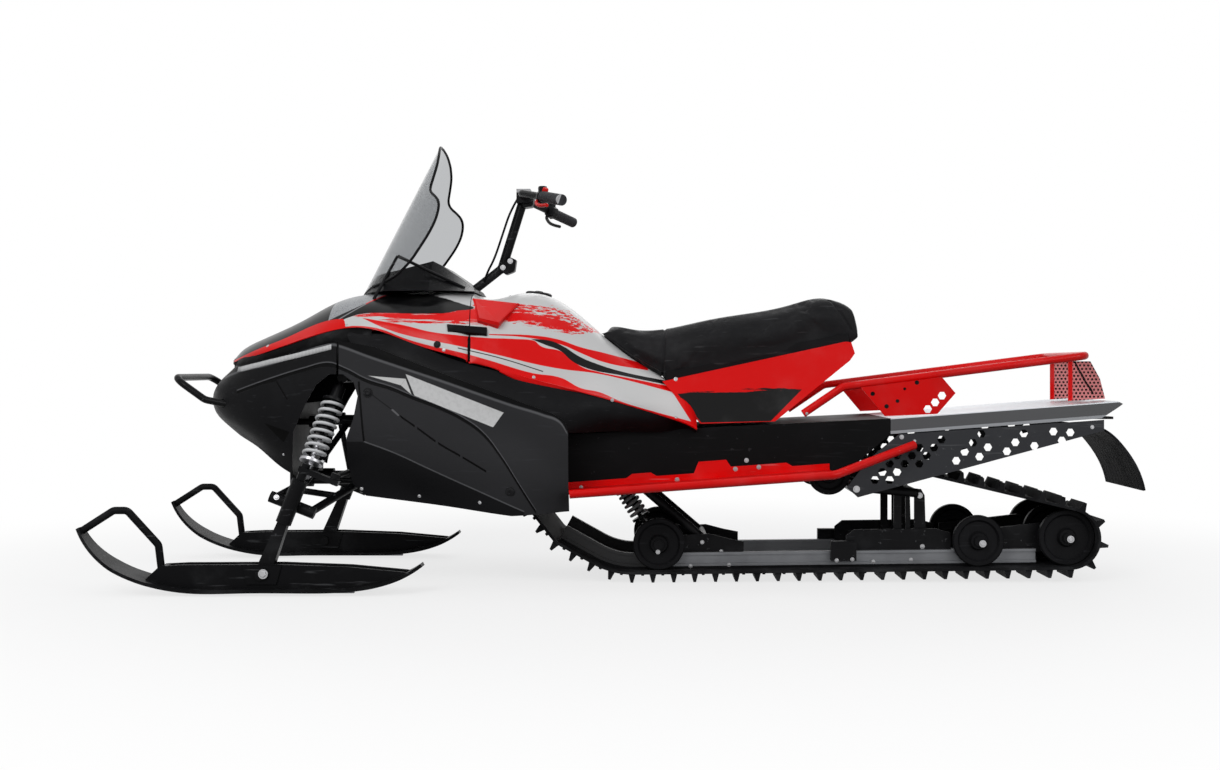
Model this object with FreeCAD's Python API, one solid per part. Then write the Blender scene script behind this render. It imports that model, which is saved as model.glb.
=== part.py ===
"""Utility snowmobile with a long track: two steered skis, a slide-rail track frame and a straddle seat.

The nose points along -X, the rider's left hand is towards -Y, and +Z is up.
The origin is on the floor, midway along the machine's length and on its centre plane.
Lengths are in millimetres. A share is a part of the size that is named beside it.
"""

import FreeCAD, Part
import math
import os

Vector = FreeCAD.Vector

# Driving dimensions
overall_length = 3200.0
overall_height = 1360.0
body_width = 860.0
ski_stance = 920.0
track_width = 500.0
tunnel_width = 544.0
board_span = 880.0
fit_gap = 0.3
overrun = 40.0


def at(x_share, z_share, y=0.0):
    """A point given as shares of the overall length and height, at a real distance from the centre plane."""
    return Vector(x_share * overall_length, y, z_share * overall_height)


def side_points(shares, y=0.0):
    """Points of a side-view outline, from shares of the overall length and height."""
    return [at(x_share, z_share, y) for x_share, z_share in shares]


def body_point(x_share, y_share, z_share):
    """A point on the bodywork, from shares of the overall length, body width and overall height."""
    return Vector(x_share * overall_length, y_share * body_width, z_share * overall_height)


def mirrored(shape):
    """The same shape on the other side of the centre plane."""
    return shape.mirror(Vector(0, 0, 0), Vector(0, 1, 0))


def moved(points, shift):
    """Points carried by one shift."""
    return [p + shift for p in points]


def polygon_face(points):
    """A flat face inside a closed run of points."""
    return Part.Face(Part.makePolygon(list(points) + [points[0]]))


def slab(points, low_y, high_y):
    """A side-view outline carried across from one distance to another."""
    face = polygon_face([Vector(p.x, low_y, p.z) for p in points])
    return face.extrude(Vector(0, high_y - low_y, 0))


def rod(start, end, radius):
    """A round bar from one point to another."""
    return Part.makeCylinder(radius, (end - start).Length, start, end - start)


def tube(start, end, radius, bore):
    """A round tube from one point to another."""
    return rod(start, end, radius).cut(rod(start, end, bore))


def bent_path(points, bend):
    """Straight runs joined by tangent arcs of one bend radius."""
    edges = []
    start = points[0]
    for before, corner, after in zip(points, points[1:], points[2:]):
        incoming = (before - corner).normalize()
        outgoing = (after - corner).normalize()
        half = incoming.getAngle(outgoing) / 2
        reach = bend / math.tan(half)
        bisector = (incoming + outgoing).normalize()
        middle = corner + bisector * (bend / math.sin(half) - bend)
        arc_start = corner + incoming * reach
        arc_end = corner + outgoing * reach
        edges.append(Part.makeLine(start, arc_start))
        edges.append(Part.Arc(arc_start, middle, arc_end).toShape())
        start = arc_end
    edges.append(Part.makeLine(start, points[-1]))
    return Part.Wire(edges)


def bent_rod(points, radius, bend):
    """A round bar along a bent path."""
    path = bent_path(points, bend)
    ring = Part.Wire(Part.makeCircle(radius, points[0], points[1] - points[0]))
    return path.makePipeShell([ring], True, False)


def fused(shapes):
    """One solid from pieces that overlap or meet."""
    first, rest = shapes[0], shapes[1:]
    return first.multiFuse(rest).removeSplitter() if rest else first


def prism(centre, radius, sides, low_y, high_y, turn=0.0):
    """A regular prism across the machine, such as a hexagonal hole."""
    step = 2 * math.pi / sides
    corners = [
        centre + Vector(math.cos(turn + k * step), 0, math.sin(turn + k * step)) * radius
        for k in range(sides)
    ]
    return slab(corners, low_y, high_y)


def spline_surface(rows):
    """A smooth surface through a grid of points."""
    surface = Part.BSplineSurface()
    surface.interpolate(rows)
    return surface


def wall_from_grid(rows, thickness):
    """A closed wall of one thickness, whose outer face runs through a grid of points."""
    outer = spline_surface(rows).toShape()
    return outer.makeOffsetShape(-thickness, wall_accuracy, False, False, 0, 0, True)


def biggest(shape):
    """The largest solid of a cut, without the slivers beside it."""
    return max(shape.Solids, key=lambda solid: solid.Volume)


parts = {}


def keep(name, *solids):
    """Files one or more solids under a node's name."""
    shape = solids[0] if len(solids) == 1 else Part.makeCompound(list(solids))
    parts[name] = shape


def both_sides(name, solid):
    """Files a left-hand solid and its mirror image under one node's name."""
    keep(name, solid, mirrored(solid))


# Track loop: the belt runs round the sprocket, the rail's tip and curve, the rear wheels and a top wheel
belt_thickness = 8.0
lug_height = 25.0
lug_pitch = 64.0
lug_root = 22.0
lug_tip = 8.0
lug_bite = 2.0
lug_edge = 5.0
lug_gap = 10.0
centre_lug_share = 0.34
sprocket_radius = 88.0
sprocket_centre = at(-0.0769, 0.228)
rail_tip_radius = 30.0
rail_tip_centre = at(-0.0606, 0.1103)
rail_curve_radius = 250.0
rail_curve_x = 0.0063 * overall_length
rear_wheel_radius = 86.5
rear_wheel_lift = 15.0
rear_wheel_x = 0.4222 * overall_length
top_wheel_radius = 65.0
top_wheel_centre = at(0.1938, 0.2426)

belt_floor = lug_height + belt_thickness
rail_curve_centre = Vector(rail_curve_x, 0, belt_floor + rail_curve_radius)
rear_wheel_centre = Vector(rear_wheel_x, 0, belt_floor + rear_wheel_lift + rear_wheel_radius)
loop_circles = [
    (sprocket_centre, sprocket_radius),
    (rail_tip_centre, rail_tip_radius),
    (rail_curve_centre, rail_curve_radius),
    (rear_wheel_centre, rear_wheel_radius),
    (top_wheel_centre, top_wheel_radius),
]


def loop_segments(circles, offset):
    """Straight and round stretches of a belt that wraps circles, seen from the left, as a list of stretches.

    A straight stretch is ("line", start, end). A round one is ("arc", centre, radius, start angle, end angle).
    """
    grown = [(c, r + offset) for c, r in circles]
    count = len(grown)
    touches = []
    for k in range(count):
        (c1, r1), (c2, r2) = grown[k], grown[(k + 1) % count]
        way = c2 - c1
        heading = math.atan2(way.z, way.x)
        lean = math.asin((r1 - r2) / way.Length)
        normal = heading - math.pi / 2 + lean
        out = Vector(math.cos(normal), 0, math.sin(normal))
        touches.append((c1 + out * r1, c2 + out * r2, normal))
    stretches = []
    for k in range(count):
        centre, radius = grown[k]
        begin = touches[k - 1][2]
        finish = touches[k][2]
        while finish < begin:
            finish += 2 * math.pi
        stretches.append(("arc", centre, radius, begin, finish))
        stretches.append(("line", touches[k][0], touches[k][1]))
    return stretches


def loop_wire(stretches):
    """The closed wire of a belt's stretches."""
    edges = []
    for s in stretches:
        if s[0] == "line":
            edges.append(Part.makeLine(s[1], s[2]))
            continue
        _, centre, radius, begin, finish = s
        ends = [
            centre + Vector(math.cos(a), 0, math.sin(a)) * radius
            for a in (begin, (begin + finish) / 2, finish)
        ]
        edges.append(Part.Arc(*ends).toShape())
    return Part.Wire(edges)


def stretch_length(s):
    return (s[2] - s[1]).Length if s[0] == "line" else s[2] * (s[4] - s[3])


def point_along(stretches, distance):
    """The point and outward direction at a distance along a belt."""
    for s in stretches:
        length = stretch_length(s)
        if distance > length:
            distance -= length
            continue
        if s[0] == "line":
            way = (s[2] - s[1]).normalize()
            return s[1] + way * distance, Vector(way.z, 0, -way.x)
        angle = s[3] + distance / s[2]
        out = Vector(math.cos(angle), 0, math.sin(angle))
        return s[1] + out * s[2], out
    raise ValueError("the distance is longer than the belt")


def belt_lug(point, out, low_y, high_y):
    """One tapered paddle that stands on the belt's outer face."""
    along = Vector(out.z, 0, -out.x)
    foot = point - out * lug_bite
    tip = point + out * lug_height
    corners = [
        foot - along * (lug_root / 2),
        foot + along * (lug_root / 2),
        tip + along * (lug_tip / 2),
        tip - along * (lug_tip / 2),
    ]
    return slab(corners, low_y, high_y)


def build_track():
    """The rubber belt as one fixed loop, with three rows of paddles."""
    inner = loop_wire(loop_segments(loop_circles, 0.0))
    outer_run = loop_segments(loop_circles, belt_thickness)
    outer = loop_wire(outer_run)
    half = track_width / 2
    ring = Part.Face(outer).cut(Part.Face(inner))
    ring.translate(Vector(0, -half, 0))
    belt = ring.extrude(Vector(0, track_width, 0)).Solids[0]
    length = sum(stretch_length(s) for s in outer_run)
    count = round(length / lug_pitch)
    pitch = length / count
    centre_half = centre_lug_share * track_width / 2
    lugs = []
    for k in range(count):
        point, out = point_along(outer_run, k * pitch)
        for side in (-1, 1):
            ends = sorted((side * (centre_half + lug_gap), side * (half - lug_edge)))
            lugs.append(belt_lug(point, out, ends[0], ends[1]))
        point, out = point_along(outer_run, (k + 0.5) * pitch)
        lugs.append(belt_lug(point, out, -centre_half, centre_half))
    print("track length", round(length), "paddle rows", count)
    keep("track", belt.multiFuse(lugs))


# Slide rails, their wheels and their arms
rail_spread = 330.0
rail_web = 8.0
rail_flange = 22.0
rail_flange_depth = 8.0
rail_height = 42.0
slider_depth = 7.0
wheel_width = 24.0
wheel_hub_radius = 24.0
wheel_hub_width = 36.0
wheel_dish = 6.0
wheel_bead = 14.0
wheel_web = 8.0
axle_radius = 10.0
axle_nut_radius = 15.0
axle_nut_length = 10.0
front_wheel_radius = 80.0
front_wheel_x = 0.0306 * overall_length
mid_wheel_radius = 79.0
mid_wheel_x = 0.3375 * overall_length
wheel_run = 1.0
rail_gap = 6.0


def belt_height(x):
    """Height of the belt's inner face under the straight part of the rails."""
    low = rail_curve_centre - Vector(0, 0, rail_curve_radius)
    high = rear_wheel_centre - Vector(0, 0, rear_wheel_radius)
    return low.z + (high.z - low.z) * (x - low.x) / (high.x - low.x)


def idler_wheel(centre, radius, y):
    """A dished rubber-tyred wheel on its hub, turned about an axle across the machine."""
    half = wheel_width / 2
    hub = wheel_hub_width / 2
    bead = radius - wheel_bead
    profile = [
        Vector(axle_radius, -hub, 0),
        Vector(wheel_hub_radius, -hub, 0),
        Vector(wheel_hub_radius + wheel_dish, -wheel_web / 2, 0),
        Vector(bead - wheel_dish, -wheel_web / 2, 0),
        Vector(bead, -half, 0),
        Vector(radius - wheel_dish / 2, -half, 0),
        Vector(radius, -half + wheel_dish / 2, 0),
        Vector(radius, half - wheel_dish / 2, 0),
        Vector(radius - wheel_dish / 2, half, 0),
        Vector(bead, half, 0),
        Vector(bead - wheel_dish, wheel_web / 2, 0),
        Vector(wheel_hub_radius + wheel_dish, wheel_web / 2, 0),
        Vector(wheel_hub_radius, hub, 0),
        Vector(axle_radius, hub, 0),
    ]
    wheel = polygon_face(profile).revolve(Vector(0, 0, 0), Vector(0, 1, 0), 360)
    wheel.translate(Vector(centre.x, y, centre.z))
    return wheel


def axle(centre, reach):
    """A through axle with a nut at each end."""
    low = Vector(centre.x, -reach, centre.z)
    high = Vector(centre.x, reach, centre.z)
    step = Vector(0, axle_nut_length, 0)
    return fused([rod(low, high, axle_radius), rod(low - step, low, axle_nut_radius), rod(high, high + step, axle_nut_radius)])


def wheel_set(centre, radius, places):
    """An axle and its wheels, as one solid."""
    reach = max(abs(y) for y in places) + wheel_hub_width / 2
    wheels = [idler_wheel(centre, radius - wheel_run / 2, y) for y in places]
    return fused([axle(centre, reach)] + wheels)


outer_wheel_y = rail_spread / 2 + rail_flange / 2 + rail_gap + wheel_hub_width / 2
front_wheel_centre = Vector(front_wheel_x, 0, belt_height(front_wheel_x) + front_wheel_radius)
mid_wheel_centre = Vector(mid_wheel_x, 0, belt_height(mid_wheel_x) + mid_wheel_radius)
wheel_pair = (-outer_wheel_y, outer_wheel_y)


def rail_profile(low, high):
    """Side-view outline of a band of the rail, between two heights above the slider's sole."""
    tip_run = loop_segments(loop_circles, 0.0)
    tip_face = tip_run[3]
    start, end = tip_face[1], tip_face[2]
    out = Vector(math.cos(tip_run[4][3]), 0, math.sin(tip_run[4][3]))
    curve_middle = (tip_run[4][3] + tip_run[4][4]) / 2
    down = Vector(math.cos(curve_middle), 0, math.sin(curve_middle))
    flat_out = Vector(math.cos(tip_run[4][4]), 0, math.sin(tip_run[4][4]))
    rear = Vector(rear_wheel_x - rear_wheel_radius, 0, belt_height(rear_wheel_x - rear_wheel_radius))

    def run(height):
        bend = rail_curve_radius - height
        return (
            start - out * height,
            end - out * height,
            rail_curve_centre + down * bend,
            rail_curve_centre + flat_out * bend,
            rear - flat_out * height,
        )

    a, b = run(low), run(high)
    edges = [
        Part.makeLine(a[0], a[1]),
        Part.Arc(a[1], a[2], a[3]).toShape(),
        Part.makeLine(a[3], a[4]),
        Part.makeLine(a[4], b[4]),
        Part.makeLine(b[4], b[3]),
        Part.Arc(b[3], b[2], b[1]).toShape(),
        Part.makeLine(b[1], b[0]),
        Part.makeLine(b[0], a[0]),
    ]
    return Part.Face(Part.Wire(edges))


def rail_band(low, high, y, width):
    face = rail_profile(low, high)
    face.translate(Vector(0, y - width / 2, 0))
    return face.extrude(Vector(0, width, 0))


def build_rails():
    """Two aluminium slide rails of I section with plastic slider shoes below them."""
    rails, shoes = [], []
    foot = slider_depth + fit_gap
    top = foot + rail_height
    for y in (-rail_spread / 2, rail_spread / 2):
        web = rail_band(foot, top, y, rail_web)
        lower = rail_band(foot, foot + rail_flange_depth, y, rail_flange)
        upper = rail_band(top - rail_flange_depth, top, y, rail_flange)
        rails.append(fused([web, lower, upper]))
        shoes.append(rail_band(fit_gap, slider_depth, y, rail_flange))
    keep("slide_rails", *rails)
    keep("slider_shoes", *shoes)


rear_axle_arm_shares = [(0.32, 0.048), (0.40, 0.062), (0.434, 0.085), (0.434, 0.113), (0.40, 0.128), (0.32, 0.106)]
rear_axle_arm_width = 10.0
front_arm_top = at(0.0125, 0.213)
front_arm_foot = at(0.0744, 0.0885)
front_arm_radius = 14.0
front_arm_spread = 250.0
cross_tube_radius = 15.0
foot_bracket_shares = [
    (0.006, 0.06), (0.012, 0.112), (0.0187, 0.122), (0.026, 0.118), (0.055, 0.1), (0.08, 0.103), (0.098, 0.092),
    (0.113, 0.085), (0.113, 0.05), (0.02, 0.05),
]
bracket_width = 6.0
block_shares = [(0.1963, 0.045), (0.1963, 0.0895), (0.2206, 0.0895), (0.2206, 0.045)]
block_width = 26.0
rear_link_front = at(0.2188, 0.2096)
rear_link_top = at(0.2828, 0.1949)
rear_link_foot = at(0.285, 0.0772)
rear_plate_shares = [
    (0.2594, 0.07), (0.2594, 0.198), (0.268, 0.2045), (0.286, 0.2045), (0.2895, 0.19), (0.291, 0.07),
]
rear_plate_y = 139.0
rear_plate_width = 6.0
rear_slot_width = 13.0
rear_slot_gap = 27.0
rear_slot_length = 118.0
rear_slot_foot = 42.0
rail_bracket_shares = [
    (0.2125, 0.052), (0.2125, 0.098), (0.2203, 0.1125), (0.3, 0.115), (0.314, 0.105), (0.314, 0.06),
]


def rail_side_y(width):
    """Distance of a plate's middle from the centre plane when it lies on the inner side of a rail."""
    return rail_spread / 2 - rail_flange / 2 - width / 2 - fit_gap


def build_rear_axle_arms():
    """Plates that carry the rear wheels behind the rails."""
    plates = []
    for side in (-1, 1):
        y = side * rail_side_y(rear_axle_arm_width)
        plate = slab(side_points(rear_axle_arm_shares), y - rear_axle_arm_width / 2, y + rear_axle_arm_width / 2)
        plates.append(plate.cut(bore_through(rear_wheel_centre, y)).cut(bore_through(mid_wheel_centre, y)))
    keep("rear_axle_arms", *plates)


def build_wheels():
    """The wheels that carry and turn the belt inside its loop."""
    middle = (-outer_wheel_y, 0.0, outer_wheel_y)
    keep(
        "idler_wheels",
        wheel_set(rear_wheel_centre, rear_wheel_radius, middle),
        wheel_set(front_wheel_centre, front_wheel_radius, wheel_pair),
        wheel_set(mid_wheel_centre, mid_wheel_radius, wheel_pair),
        wheel_set(top_wheel_centre, top_wheel_radius, wheel_pair),
    )


def bore_through(centre, y):
    """A cutter for an axle's hole in one plate."""
    low = Vector(centre.x, y - overrun, centre.z)
    high = Vector(centre.x, y + overrun, centre.z)
    return rod(low, high, axle_radius)


def build_front_arm():
    """The front swing arm, from a cross tube under the tunnel down to one between the rails."""
    half = front_arm_spread / 2
    reach_top = tunnel_width / 2 - sheet
    reach_foot = rail_side_y(bracket_width) - bracket_width / 2
    top, foot = front_arm_top, front_arm_foot
    pieces = [
        rod(top - Vector(0, reach_top, 0), top + Vector(0, reach_top, 0), cross_tube_radius),
        rod(foot - Vector(0, reach_foot, 0), foot + Vector(0, reach_foot, 0), cross_tube_radius),
    ]
    for side in (-1, 1):
        shift = Vector(0, side * half, 0)
        pieces.append(rod(top + shift, foot + shift, front_arm_radius))
    return fused(pieces)


def build_rail_fittings():
    """Brackets on the rails' inner sides, the shaft that holds the track damper, and blocks on the outer sides."""
    fittings = []
    for side in (-1, 1):
        y = side * rail_side_y(bracket_width)
        front = slab(side_points(foot_bracket_shares), y - bracket_width / 2, y + bracket_width / 2)
        front = front.cut(bore_through(front_wheel_centre, y))
        fittings.append(front)
        rear = slab(side_points(rail_bracket_shares), y - bracket_width / 2, y + bracket_width / 2)
        fittings.append(rear)
        y = side * (rail_spread / 2 + rail_flange / 2 + block_width / 2 + fit_gap)
        fittings.append(slab(side_points(block_shares), y - block_width / 2, y + block_width / 2))
    keep("rail_fittings", *fittings)


def slot_cut(centre, length, width, low_y, high_y):
    """A round-ended upright slot across the machine."""
    half = Vector(0, 0, length / 2)
    box = slab(
        [
            centre + half + Vector(-width / 2, 0, 0),
            centre + half + Vector(width / 2, 0, 0),
            centre - half + Vector(width / 2, 0, 0),
            centre - half + Vector(-width / 2, 0, 0),
        ],
        low_y,
        high_y,
    )
    shift = Vector(0, high_y - low_y, 0)
    foot = Vector(0, low_y - centre.y, 0)
    ends = [rod(centre + s + foot, centre + s + foot + shift, width / 2) for s in (half, half * -1)]
    return box.fuse(ends)


def build_swing_arms():
    """The front arm, and the slotted rear frame on the rails with its pins and its link to the tunnel."""
    pieces = []
    for side in (-1, 1):
        y = side * rear_plate_y
        low, high = y - rear_plate_width / 2, y + rear_plate_width / 2
        plate = slab(side_points(rear_plate_shares), low, high)
        foot = at(0.2688, 0.07) + Vector(0, 0, rear_slot_foot + rear_slot_length / 2)
        for k in (0, 1):
            centre = foot + Vector(k * rear_slot_gap, 0, 0)
            plate = plate.cut(slot_cut(centre, rear_slot_length, rear_slot_width, low - overrun, high + overrun))
        pieces.append(plate)
        shift = Vector(0, y, 0)
        pieces.append(rod(rear_link_front + shift, rear_link_top + shift, front_arm_radius))
    for pin in (rear_link_top, rear_link_foot):
        pieces.append(rod(Vector(pin.x, -rear_plate_y, pin.z), Vector(pin.x, rear_plate_y, pin.z), axle_radius))
    reach = tunnel_width / 2 - sheet
    pieces.append(
        rod(Vector(rear_link_front.x, -reach, rear_link_front.z), Vector(rear_link_front.x, reach, rear_link_front.z), cross_tube_radius)
    )
    keep("swing_arms", build_front_arm(), fused(pieces))


# Coil-over dampers
spring_wire_radius = 5.0
damper_body_radius = 19.0
damper_rod_radius = 7.0
damper_eye_radius = 15.0
damper_body_share = 0.42
damper_eye_width = 22.0
damper_cap_radius = 30.0
damper_cap_depth = 8.0
track_spring_radius = 25.0
track_spring_turns = 6
track_spring_share = (0.2, 0.78)
track_damper_top = at(-0.0125, 0.2279)
track_damper_foot = at(0.0187, 0.1103)


def coil(start, end, radius, turns, wire_radius):
    """An open coil spring between two points, as closed solid turns on a helix."""
    way = end - start
    helix = Part.makeHelix(way.Length / turns, way.Length, radius)
    ring = Part.Wire(Part.makeCircle(wire_radius, Vector(radius, 0, 0), Vector(0, 1, 0)))
    spring = Part.Wire(helix.Edges).makePipeShell([ring], True, True)
    turn = FreeCAD.Rotation(Vector(0, 0, 1), way)
    spring.Placement = FreeCAD.Placement(start, turn)
    return spring


def damper(foot, top, spring_share, spring_radius):
    """A damper with an eye at each end and its two spring seats, and the seats' facing points."""
    way = (top - foot).normalize()
    length = (top - foot).Length
    across = Vector(0, damper_eye_width / 2, 0)
    seat_low = foot + way * (length * spring_share[0])
    seat_high = foot + way * (length * spring_share[1])
    neck = top - way * (2 * damper_eye_radius)
    cap = way * damper_cap_depth
    cap_radius = spring_radius + spring_wire_radius
    solid = fused(
        [
            rod(foot - across, foot + across, damper_eye_radius),
            rod(top - across, top + across, damper_eye_radius),
            rod(foot, top, damper_rod_radius),
            rod(foot + way * (length * damper_body_share), neck, damper_body_radius),
            rod(seat_low - cap, seat_low, cap_radius),
            rod(seat_high, seat_high + cap, cap_radius),
        ]
    )
    return solid, seat_low, seat_high


# Tunnel, running boards and rear deck
sheet = 4.0
tunnel_front_x = -0.131 * overall_length
tunnel_rear_x = 0.25 * overall_length
deck_rear_x = 0.4656 * overall_length
tunnel_top_share = 0.3397
tunnel_rise = 0.05
board_share = 0.2059
board_rise = 0.0725
board_front_x = -0.1 * overall_length
board_step_x = -0.05 * overall_length
board_step = 36.0
board_rear_x = 0.192 * overall_length
deck_flange = 47.0
deck_lip = 16.0
deck_tail_shares = [(0.4497, 0.3691), (0.4656, 0.3934), (0.4703, 0.4015), (0.4656, 0.4074)]


def tunnel_top(x):
    """Height of the tunnel's roof."""
    return tunnel_top_share * overall_height + tunnel_rise * x


def board_top(x):
    """Height of the running boards' upper face."""
    return board_share * overall_height + board_rise * (x - board_front_x)


def deck_top(x):
    """Height of the rear deck, which rises a little faster than the tunnel."""
    rise = (deck_tail_shares[3][1] * overall_height - tunnel_top(tunnel_rear_x)) / (deck_rear_x - tunnel_rear_x)
    return tunnel_top(tunnel_rear_x) + rise * (x - tunnel_rear_x)


def tunnel_outline():
    """Side-view outline of the tunnel."""
    front, rear = tunnel_front_x, tunnel_rear_x
    return [
        Vector(front, 0, tunnel_top(front)),
        Vector(rear, 0, tunnel_top(rear)),
        Vector(rear, 0, tunnel_top(rear) - deck_flange),
        Vector(board_rear_x + (rear - board_rear_x) / 3, 0, board_top(board_rear_x)),
        Vector(board_rear_x, 0, board_top(board_rear_x) - sheet),
        Vector(front, 0, board_top(front) - sheet),
    ]


def build_tunnel():
    """The folded sheet tunnel over the belt: a roof and two walls, shut in front."""
    half = tunnel_width / 2
    front, rear = tunnel_front_x, tunnel_rear_x
    outer = slab(tunnel_outline(), -half, half)
    hollow = slab(
        [
            Vector(front + sheet, 0, tunnel_top(front) - sheet),
            Vector(rear + overrun, 0, tunnel_top(rear + overrun) - sheet),
            Vector(rear + overrun, 0, 0),
            Vector(front + sheet, 0, 0),
        ],
        -half + sheet,
        half - sheet,
    )
    keep("tunnel", outer.cut(hollow))


board_flange_shares = [
    (0.0, 18.0), (0.34, 18.0), (0.36, 30.0), (0.42, 30.0), (0.44, 18.0), (0.56, 18.0),
    (0.575, 52.0), (0.665, 52.0), (0.68, 30.0), (0.86, 30.0), (0.88, 18.0), (1.0, 18.0),
]
edge_tube_radius = 13.0
edge_bend = 45.0
edge_rear = at(0.2713, 0.311)
edge_rear_y = 292.0
edge_start_x = -0.052 * overall_length


def build_boards():
    """Running boards with an upright flange against the tunnel, and the round rail along their outer edge."""
    inner = tunnel_width / 2 + fit_gap
    outer = board_span / 2 - edge_tube_radius
    length = board_rear_x - board_front_x
    floor_outline = [
        Vector(board_front_x, 0, board_top(board_front_x)),
        Vector(board_rear_x, 0, board_top(board_rear_x)),
        Vector(board_rear_x, 0, board_top(board_rear_x) - sheet),
        Vector(board_front_x, 0, board_top(board_front_x) - sheet),
    ]
    floor = slab(floor_outline, -outer, -inner)
    flange_top = []
    for x_share, height in board_flange_shares:
        x = board_front_x + x_share * length
        flange_top.append(Vector(x, 0, board_top(x) + height))
    flange = slab(flange_top + [floor_outline[2], floor_outline[3]], -inner - sheet, -inner)
    step = slab(
        [
            Vector(board_front_x - overrun, 0, 0),
            Vector(board_step_x, 0, 0),
            Vector(board_step_x, 0, overall_height),
            Vector(board_front_x - overrun, 0, overall_height),
        ],
        -outer - overrun,
        -outer + board_step,
    )
    both_sides("running_boards", fused([floor, flange]).cut(step))
    y = -(board_span / 2 - edge_tube_radius)
    drop = edge_tube_radius / 2

    def on_edge(x):
        return Vector(x, y - fit_gap, board_top(x) - drop)

    path = [on_edge(edge_start_x), on_edge(board_rear_x), Vector(edge_rear.x, -edge_rear_y, edge_rear.z)]
    edge = bent_rod(path, edge_tube_radius, edge_bend)
    keep_out = slab(floor_outline, -outer - fit_gap, -inner)
    edge = edge.cut(keep_out)
    both_sides("board_rails", edge)


hex_radius = 13.0
hex_rows_share = [
    (0.235, 0.232), (0.249, 0.232), (0.242, 0.25), (0.256, 0.25), (0.249, 0.268), (0.263, 0.268), (0.277, 0.268),
    (0.256, 0.286), (0.27, 0.286), (0.284, 0.286), (0.277, 0.304), (0.291, 0.304), (0.298, 0.322),
    (0.312, 0.275), (0.32, 0.295), (0.328, 0.315), (0.336, 0.335), (0.334, 0.284), (0.342, 0.305),
    (0.36, 0.296), (0.368, 0.316), (0.376, 0.336), (0.386, 0.308), (0.412, 0.32), (0.404, 0.34), (0.42, 0.338),
]
side_plate_shares = [
    (0.2578, 0.3338), (0.4519, 0.3662), (0.4519, 0.3419), (0.2188, 0.1934), (0.2084, 0.2154), (0.23, 0.28),
]


def build_rear_deck():
    """The flat rear deck with turned-down sides and a raised tail lip."""
    half = tunnel_width / 2
    front, rear = tunnel_rear_x + fit_gap, deck_rear_x
    outline = [Vector(front, 0, deck_top(front)), Vector(rear, 0, deck_top(rear))]
    outline += [at(*deck_tail_shares[2]), at(*deck_tail_shares[1]), at(*deck_tail_shares[0])]
    outline.append(Vector(front, 0, deck_top(front) - deck_flange))
    outer = slab(outline, -half, half)
    hollow = slab(
        [
            Vector(front - overrun, 0, deck_top(front - overrun) - sheet),
            Vector(rear - sheet, 0, deck_top(rear - sheet) - sheet),
            Vector(rear - sheet, 0, 0),
            Vector(front - overrun, 0, 0),
        ],
        -half + sheet,
        half - sheet,
    )
    keep("rear_deck", outer.cut(hollow))
    low = -half - sheet - fit_gap
    plate = slab(side_points(side_plate_shares), low, low + sheet)
    for x_share, z_share in hex_rows_share:
        plate = plate.cut(prism(at(x_share, z_share), hex_radius, 6, low - overrun, low + overrun))
    both_sides("side_plates", plate)


flap_shares = [(0.44, 0.352), (0.46, 0.343), (0.479, 0.302), (0.492, 0.254), (0.4988, 0.205)]
flap_thickness = 7.0
flap_width = 400.0


def build_flap():
    """The rubber snow flap that hangs from the deck's tail."""
    line = side_points(flap_shares)
    curve = Part.BSplineCurve()
    curve.interpolate(line)
    back = Part.BSplineCurve()
    shifted = []
    for k, p in enumerate(line):
        way = (line[min(k + 1, len(line) - 1)] - line[max(k - 1, 0)]).normalize()
        shifted.append(p + Vector(way.z, 0, -way.x) * flap_thickness)
    back.interpolate(shifted)
    edges = [
        curve.toShape(),
        Part.makeLine(line[-1], shifted[-1]),
        back.toShape(),
        Part.makeLine(shifted[0], line[0]),
    ]
    face = Part.Face(Part.Wire(Part.__sortEdges__(edges)))
    face.translate(Vector(0, -flap_width / 2, 0))
    keep("snow_flap", face.extrude(Vector(0, flap_width, 0)))


hitch_plate = 8.0
hitch_half = 35.0
hitch_front_x = 0.416 * overall_length
hitch_rear_x = 0.483 * overall_length
hitch_z = 0.362 * overall_height
hitch_leg_length = 90.0
hitch_pin_radius = 8.0
hitch_pin_inset = 20.0


def build_hitch():
    """The tow hitch: a tongue under the deck's tail with an upright pin hole, on two legs."""
    tongue = Part.makeBox(
        hitch_rear_x - hitch_front_x, 2 * hitch_half, hitch_plate, Vector(hitch_front_x, -hitch_half, hitch_z)
    )
    pin = Vector(hitch_rear_x - hitch_pin_inset, 0, hitch_z)
    tongue = tongue.cut(Part.makeCylinder(hitch_pin_radius, 2 * overrun, pin - Vector(0, 0, overrun)))
    front, rear = hitch_front_x, hitch_front_x + hitch_leg_length
    leg_outline = [
        Vector(front, 0, hitch_z),
        Vector(rear, 0, hitch_z),
        Vector(rear, 0, deck_top(rear) - sheet - fit_gap),
        Vector(front, 0, deck_top(front) - sheet - fit_gap),
    ]
    legs = [
        slab(leg_outline, side * hitch_half - sheet / 2, side * hitch_half + sheet / 2) for side in (-1, 1)
    ]
    keep("tow_hitch", fused([tongue] + legs))


rack_tube_radius = 12.0
rack_bend = 40.0
rack_half = 260.0
rack_shares = [(0.1675, 0.3794), (0.2053, 0.4397), (0.438, 0.5096)]
rack_plate_shares = [(0.2216, 0.4382), (0.2984, 0.4614), (0.3113, 0.4257), (0.2941, 0.3794), (0.2444, 0.3743)]
rack_plate_holes_share = [(0.2850, 0.3900), (0.2920, 0.4050), (0.2985, 0.4200)]
lamp_bracket_shares = [(0.4316, 0.4971), (0.4534, 0.4971), (0.4628, 0.4566), (0.4678, 0.411), (0.4316, 0.4059)]
lamp_bracket_y = 110.0


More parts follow.
